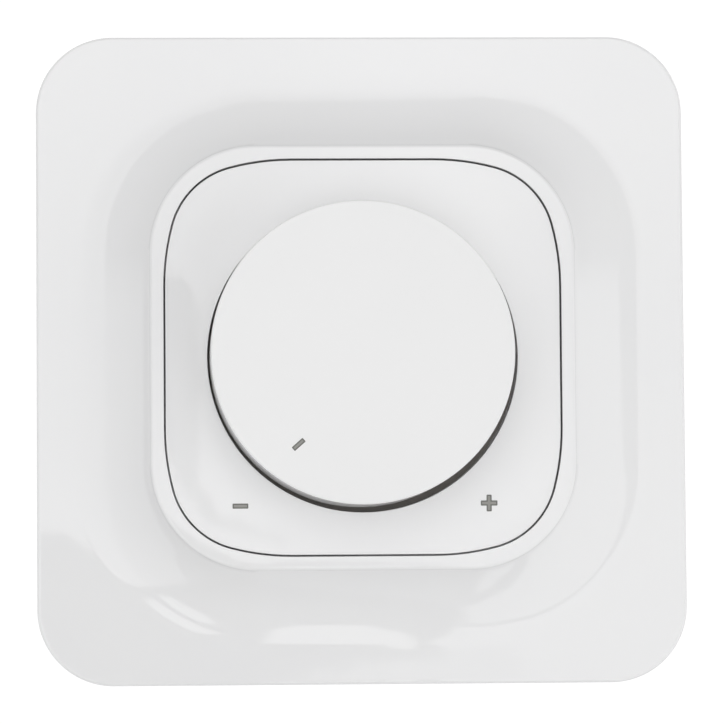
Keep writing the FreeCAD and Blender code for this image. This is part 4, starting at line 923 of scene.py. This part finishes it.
# Panels of the tent in the order in which they are hung: what it does, level, softness of the edge in
# degrees, and the corners of its convex outline as degrees to the right of straight ahead and degrees
# up. A lamp adds its level to what hangs before it, a card covers it.
panels = {
    "rearRight": ("card", 0.45, 10, [(115, -55), (115, 55), (200, 55), (200, -55)]),
    "rearLeft": ("card", 0.6, 10, [(-115, -55), (-115, 55), (-200, 55), (-200, -55)]),
    "rearLamp": ("lamp", 1.3, 6, [(128, 10), (128, 48), (162, 48), (162, 10)]),
    "rearFill": ("lamp", 0.6, 12, [(-170, -35), (-170, 10), (-128, 10), (-128, -35)]),
    "left": ("lamp", 0.7, 1, [(-88, 4.7), (-35, 4.7), (-15, -12), (-34, -46), (-78, -44), (-86, -25)]),
    "right": ("lamp", 0.93, 0.6, [(41.5, 4.7), (100, 4.7), (100, -53), (60, -57.5), (20, -55), (6, -48),
                                  (5, -29), (20, -11)]),
    "lowStrip": ("lamp", 0.95, 1, [(16, -63), (60, -69.5), (60, -79), (35, -76), (20, -69)]),
    "lowStripEnd": ("lamp", 0.95, 1, [(60, -69.5), (100, -61), (100, -77), (60, -79)]),
    "surround": ("card", 0.4, 0.4, [(-40, 8), (-36, 22), (-26, 35), (-12, 44), (3, 41), (14, 32),
                                    (20, 14), (23, 2), (21.5, -9), (13, -25), (4, -29), (-10, -24),
                                    (-28, -13), (-38, -5)]),
    "key": ("lamp", 1.14, 0.8, [(-40, 8), (-36, 22), (-26, 35), (-12, 44), (3, 41), (14, 32), (20, 14),
                                (21, 2), (18.5, -8.5), (10.5, -21.5), (4, -25), (-10, -23), (-28, -13),
                                (-38, -5)]),
    "keyCore": ("lamp", 0.6, 5, [(-14, 5), (-14, 30), (12, 34), (14, 5)]),
    "flag": ("card", 0.0, 0.03, [(-2.0, 1.25), (-0.9, 0.5), (1.3, -1.0), (3.45, -5), (4.7, -35),
                                 (4.9, -85), (-60, -85), (-36, -44), (-17, -17)]),
    "flagEnd": ("card", 0.0, 0.03, [(-10, -30), (4.3, -30), (6, -48), (6, -85), (-10, -85)]),
    "lowFlag": ("card", 0.0, 0.03, [(-1.2, 0.75), (3.75, -0.5), (3.6, -6), (1, -8), (-1.5, -1.5)]),
    "strap": ("card", 0.22, 0.02, [(-0.3, 4.7), (0.18, 4.65), (0.35, 4.2), (0.37, 2.9), (0.35, 1.7),
                                  (0.05, 1.83), (-0.1, 2.1)]),
    "strapTurn": ("card", 0.22, 0.02, [(0.05, 1.83), (0.35, 1.75), (0.62, 1.36), (0.5, 1.2),
                                       (0.14, 1.66)]),
    "strapEnd": ("card", 0.22, 0.02, [(0.5, 1.2), (0.62, 1.37), (1.62, 0.98), (1.6, 0.93)]),
    "lowStreak": ("card", 1.7, 0.1, [(1.2, -8), (3.38, -5.4), (3.4, -17), (3.0, -27), (1.9, -28),
                                     (1.4, -22)]),
    "lowStreakEnd": ("card", 1.7, 0.05, [(2.95, -5.4), (3.05, -0.5), (3.33, -0.5), (3.38, -8), (3, -8)]),
    "lowGap": ("card", 0.0, 0.02, [(2.8, -0.64), (3.7, -0.62), (3.75, -0.85), (2.8, -0.9)]),
    "lowEnd": ("card", 1.1, 0.03, [(1.2, -1.02), (1.81, -0.94), (3.0, -0.8), (4.6, -0.7), (5, -1.1),
                                   (1.0, -1.15)]),
    "sideStreak": ("card", 1.7, 0.4, [(-2.5, -7), (-7, -7.5), (-12, -14), (-9, -15.5), (-2.5, -15)]),
    "sideStreakEnd": ("card", 1.7, 0.4, [(-9.5, -18.5), (-16, -19), (-18.5, -26), (-11, -28.5),
                                         (-6, -24), (-6.5, -19.5)]),
}


def panelMask(tree, aim, softness, corners):
    # 1 inside the corners and 0 outside: the smallest of the distances from the edges
    centre = [sum(corner[axis] for corner in corners) / len(corners) for axis in (0, 1)]
    mask = None
    for (startX, startY), (endX, endY) in zip(corners, corners[1:] + corners[:1]):
        length = math.hypot(endX - startX, endY - startY) * softness
        across = [(startY - endY) / length, (endX - startX) / length]
        if across[0] * (centre[0] - startX) + across[1] * (centre[1] - startY) < 0:
            across = [-across[0], -across[1]]
        shift = 0.5 - across[0] * startX - across[1] * startY
        edge = addNode(tree, "ShaderNodeVectorMath", {"operation": "DOT_PRODUCT", 1: (*across, shift)},
                       [(aim, 0)]).outputs["Value"]
        if mask is None:
            mask = edge
        else:
            mask = addNode(tree, "ShaderNodeMath", {"operation": "MINIMUM", "use_clamp": True},
                           [(mask, 0), (edge, 1)]).outputs[0]
    return mask


def buildTent():
    # a light tent: each direction has its own level, and the camera sees plain white behind
    world = bpy.data.worlds.new("lightTent")
    bpy.context.scene.world = world
    world.use_nodes = True
    tree = world.node_tree
    tree.nodes.clear()
    direction = addNode(tree, "ShaderNodeTexCoord", {}).outputs["Generated"]
    parts = addNode(tree, "ShaderNodeSeparateXYZ", {}, [(direction, "Vector")])
    ahead = addNode(tree, "ShaderNodeMath", {"operation": "MULTIPLY", 1: -1}, [(parts.outputs["Y"], 0)])
    turn = addNode(tree, "ShaderNodeMath", {"operation": "ARCTAN2"},
                   [(parts.outputs["X"], 0), (ahead.outputs[0], 1)])
    rise = addNode(tree, "ShaderNodeMath", {"operation": "ARCSINE"}, [(parts.outputs["Z"], 0)])
    angles = addNode(tree, "ShaderNodeCombineXYZ", {}, [(turn.outputs[0], "X"), (rise.outputs[0], "Y")])
    degrees = addNode(tree, "ShaderNodeVectorMath", {"operation": "SCALE", "Scale": math.degrees(1)},
                      [(angles.outputs["Vector"], 0)])
    # the third number is 1, so that one dot product gives a distance from an edge
    aim = addNode(tree, "ShaderNodeVectorMath", {"operation": "ADD", 1: (0, 0, 1)},
                  [(degrees.outputs["Vector"], 0)]).outputs["Vector"]
    front = addNode(tree, "ShaderNodeMapRange",
                    {"From Min": 0.0, "From Max": 1.0, "To Min": tent["front"],
                     "To Max": tent["front"] + tent["above"]}, [(parts.outputs["Z"], "Value")])
    behind = addNode(tree, "ShaderNodeMapRange",
                     {"From Min": tent["backStart"], "From Max": tent["backFull"]},
                     [(parts.outputs["Y"], "Value")])
    level = addNode(tree, "ShaderNodeMix", {"data_type": "FLOAT", 3: tent["back"]},
                    [(behind.outputs["Result"], 0), (front.outputs["Result"], 2)]).outputs[0]
    for kind, strength, softness, corners in panels.values():
        mask = panelMask(tree, aim, softness, corners)
        if kind == "lamp":
            level = addNode(tree, "ShaderNodeMath", {"operation": "MULTIPLY_ADD", 1: strength},
                            [(mask, 0), (level, 2)]).outputs[0]
        else:
            level = addNode(tree, "ShaderNodeMix", {"data_type": "FLOAT", 3: strength},
                            [(mask, 0), (level, 2)]).outputs[0]
    cloth = addNode(tree, "ShaderNodeBackground", {"Color": linear("#ffffff")}, [(level, "Strength")])
    white = addNode(tree, "ShaderNodeBackground", {"Color": linear("#ffffff"),
                                                   "Strength": tent["backdrop"]})
    ray = addNode(tree, "ShaderNodeLightPath", {})
    both = addNode(tree, "ShaderNodeMixShader", {}, [(ray.outputs["Is Camera Ray"], 0),
                                                     (cloth.outputs[0], 1), (white.outputs[0], 2)])
    addNode(tree, "ShaderNodeOutputWorld", {}, [(both.outputs[0], "Surface")])


def buildFloor():
    mesh = bmesh.new()
    steps = tent["floorSteps"]
    rim = [turned(tent["floorRadius"], 0, fullTurn * step / steps) for step in range(steps)]
    mesh.faces.new([mesh.verts.new(Vector((x, y, -tent["floorDrop"])) * mm) for x, y in rim])
    paint = mouldedSkin("paintedBoardMatt", "#f4f4f3", "#f1f2f2", 0.8, 0.01)
    floor = addPiece("floor", mesh, paint, None)
    floor.visible_diffuse = floor.visible_glossy = floor.visible_shadow = False


viewpoint = {
    "distance": 540.0,     # mm from the pivot
    "tilt": -3.45,         # degrees, the camera looks up
    "pan": 2.63,
    "roll": 0.43,
    "pivotHeight": 4.17,   # mm above the wall
    "aside": (-0.08, 0.36),
    "focalPixels": 4118,   # on a picture 724 pixels wide
    "pictureWidth": 724,
    "sensorWidth": 36,     # mm
    "clipStart": 10,       # mm
}


def addCamera():
    view = viewpoint
    data = bpy.data.cameras.new("camera")
    data.sensor_width = view["sensorWidth"]
    data.lens = view["focalPixels"] / view["pictureWidth"] * data.sensor_width
    data.clip_start = view["clipStart"] * mm
    camera = bpy.data.objects.new("camera", data)
    bpy.context.scene.collection.objects.link(camera)
    turn = Matrix.Rotation(math.radians(view["roll"]), 3, "Z")
    turn = turn @ Matrix.Rotation(math.radians(view["tilt"]), 3, "X")
    turn = turn @ Matrix.Rotation(math.radians(view["pan"]), 3, "Y")
    standUp = Matrix(((1, 0, 0), (0, 0, -1), (0, 1, 0)))
    back = turn.transposed()
    eye = back @ Vector((-view["aside"][0], -view["aside"][1], view["distance"]))
    place = standUp @ eye - Vector((0, view["pivotHeight"], 0))
    camera.matrix_world = Matrix.Translation(place * mm) @ (standUp @ back).to_4x4()
    bpy.context.scene.camera = camera


buildTent()
buildFloor()
addCamera()
bpy.context.scene.view_settings.view_transform = "Standard"
print("light and camera are set")
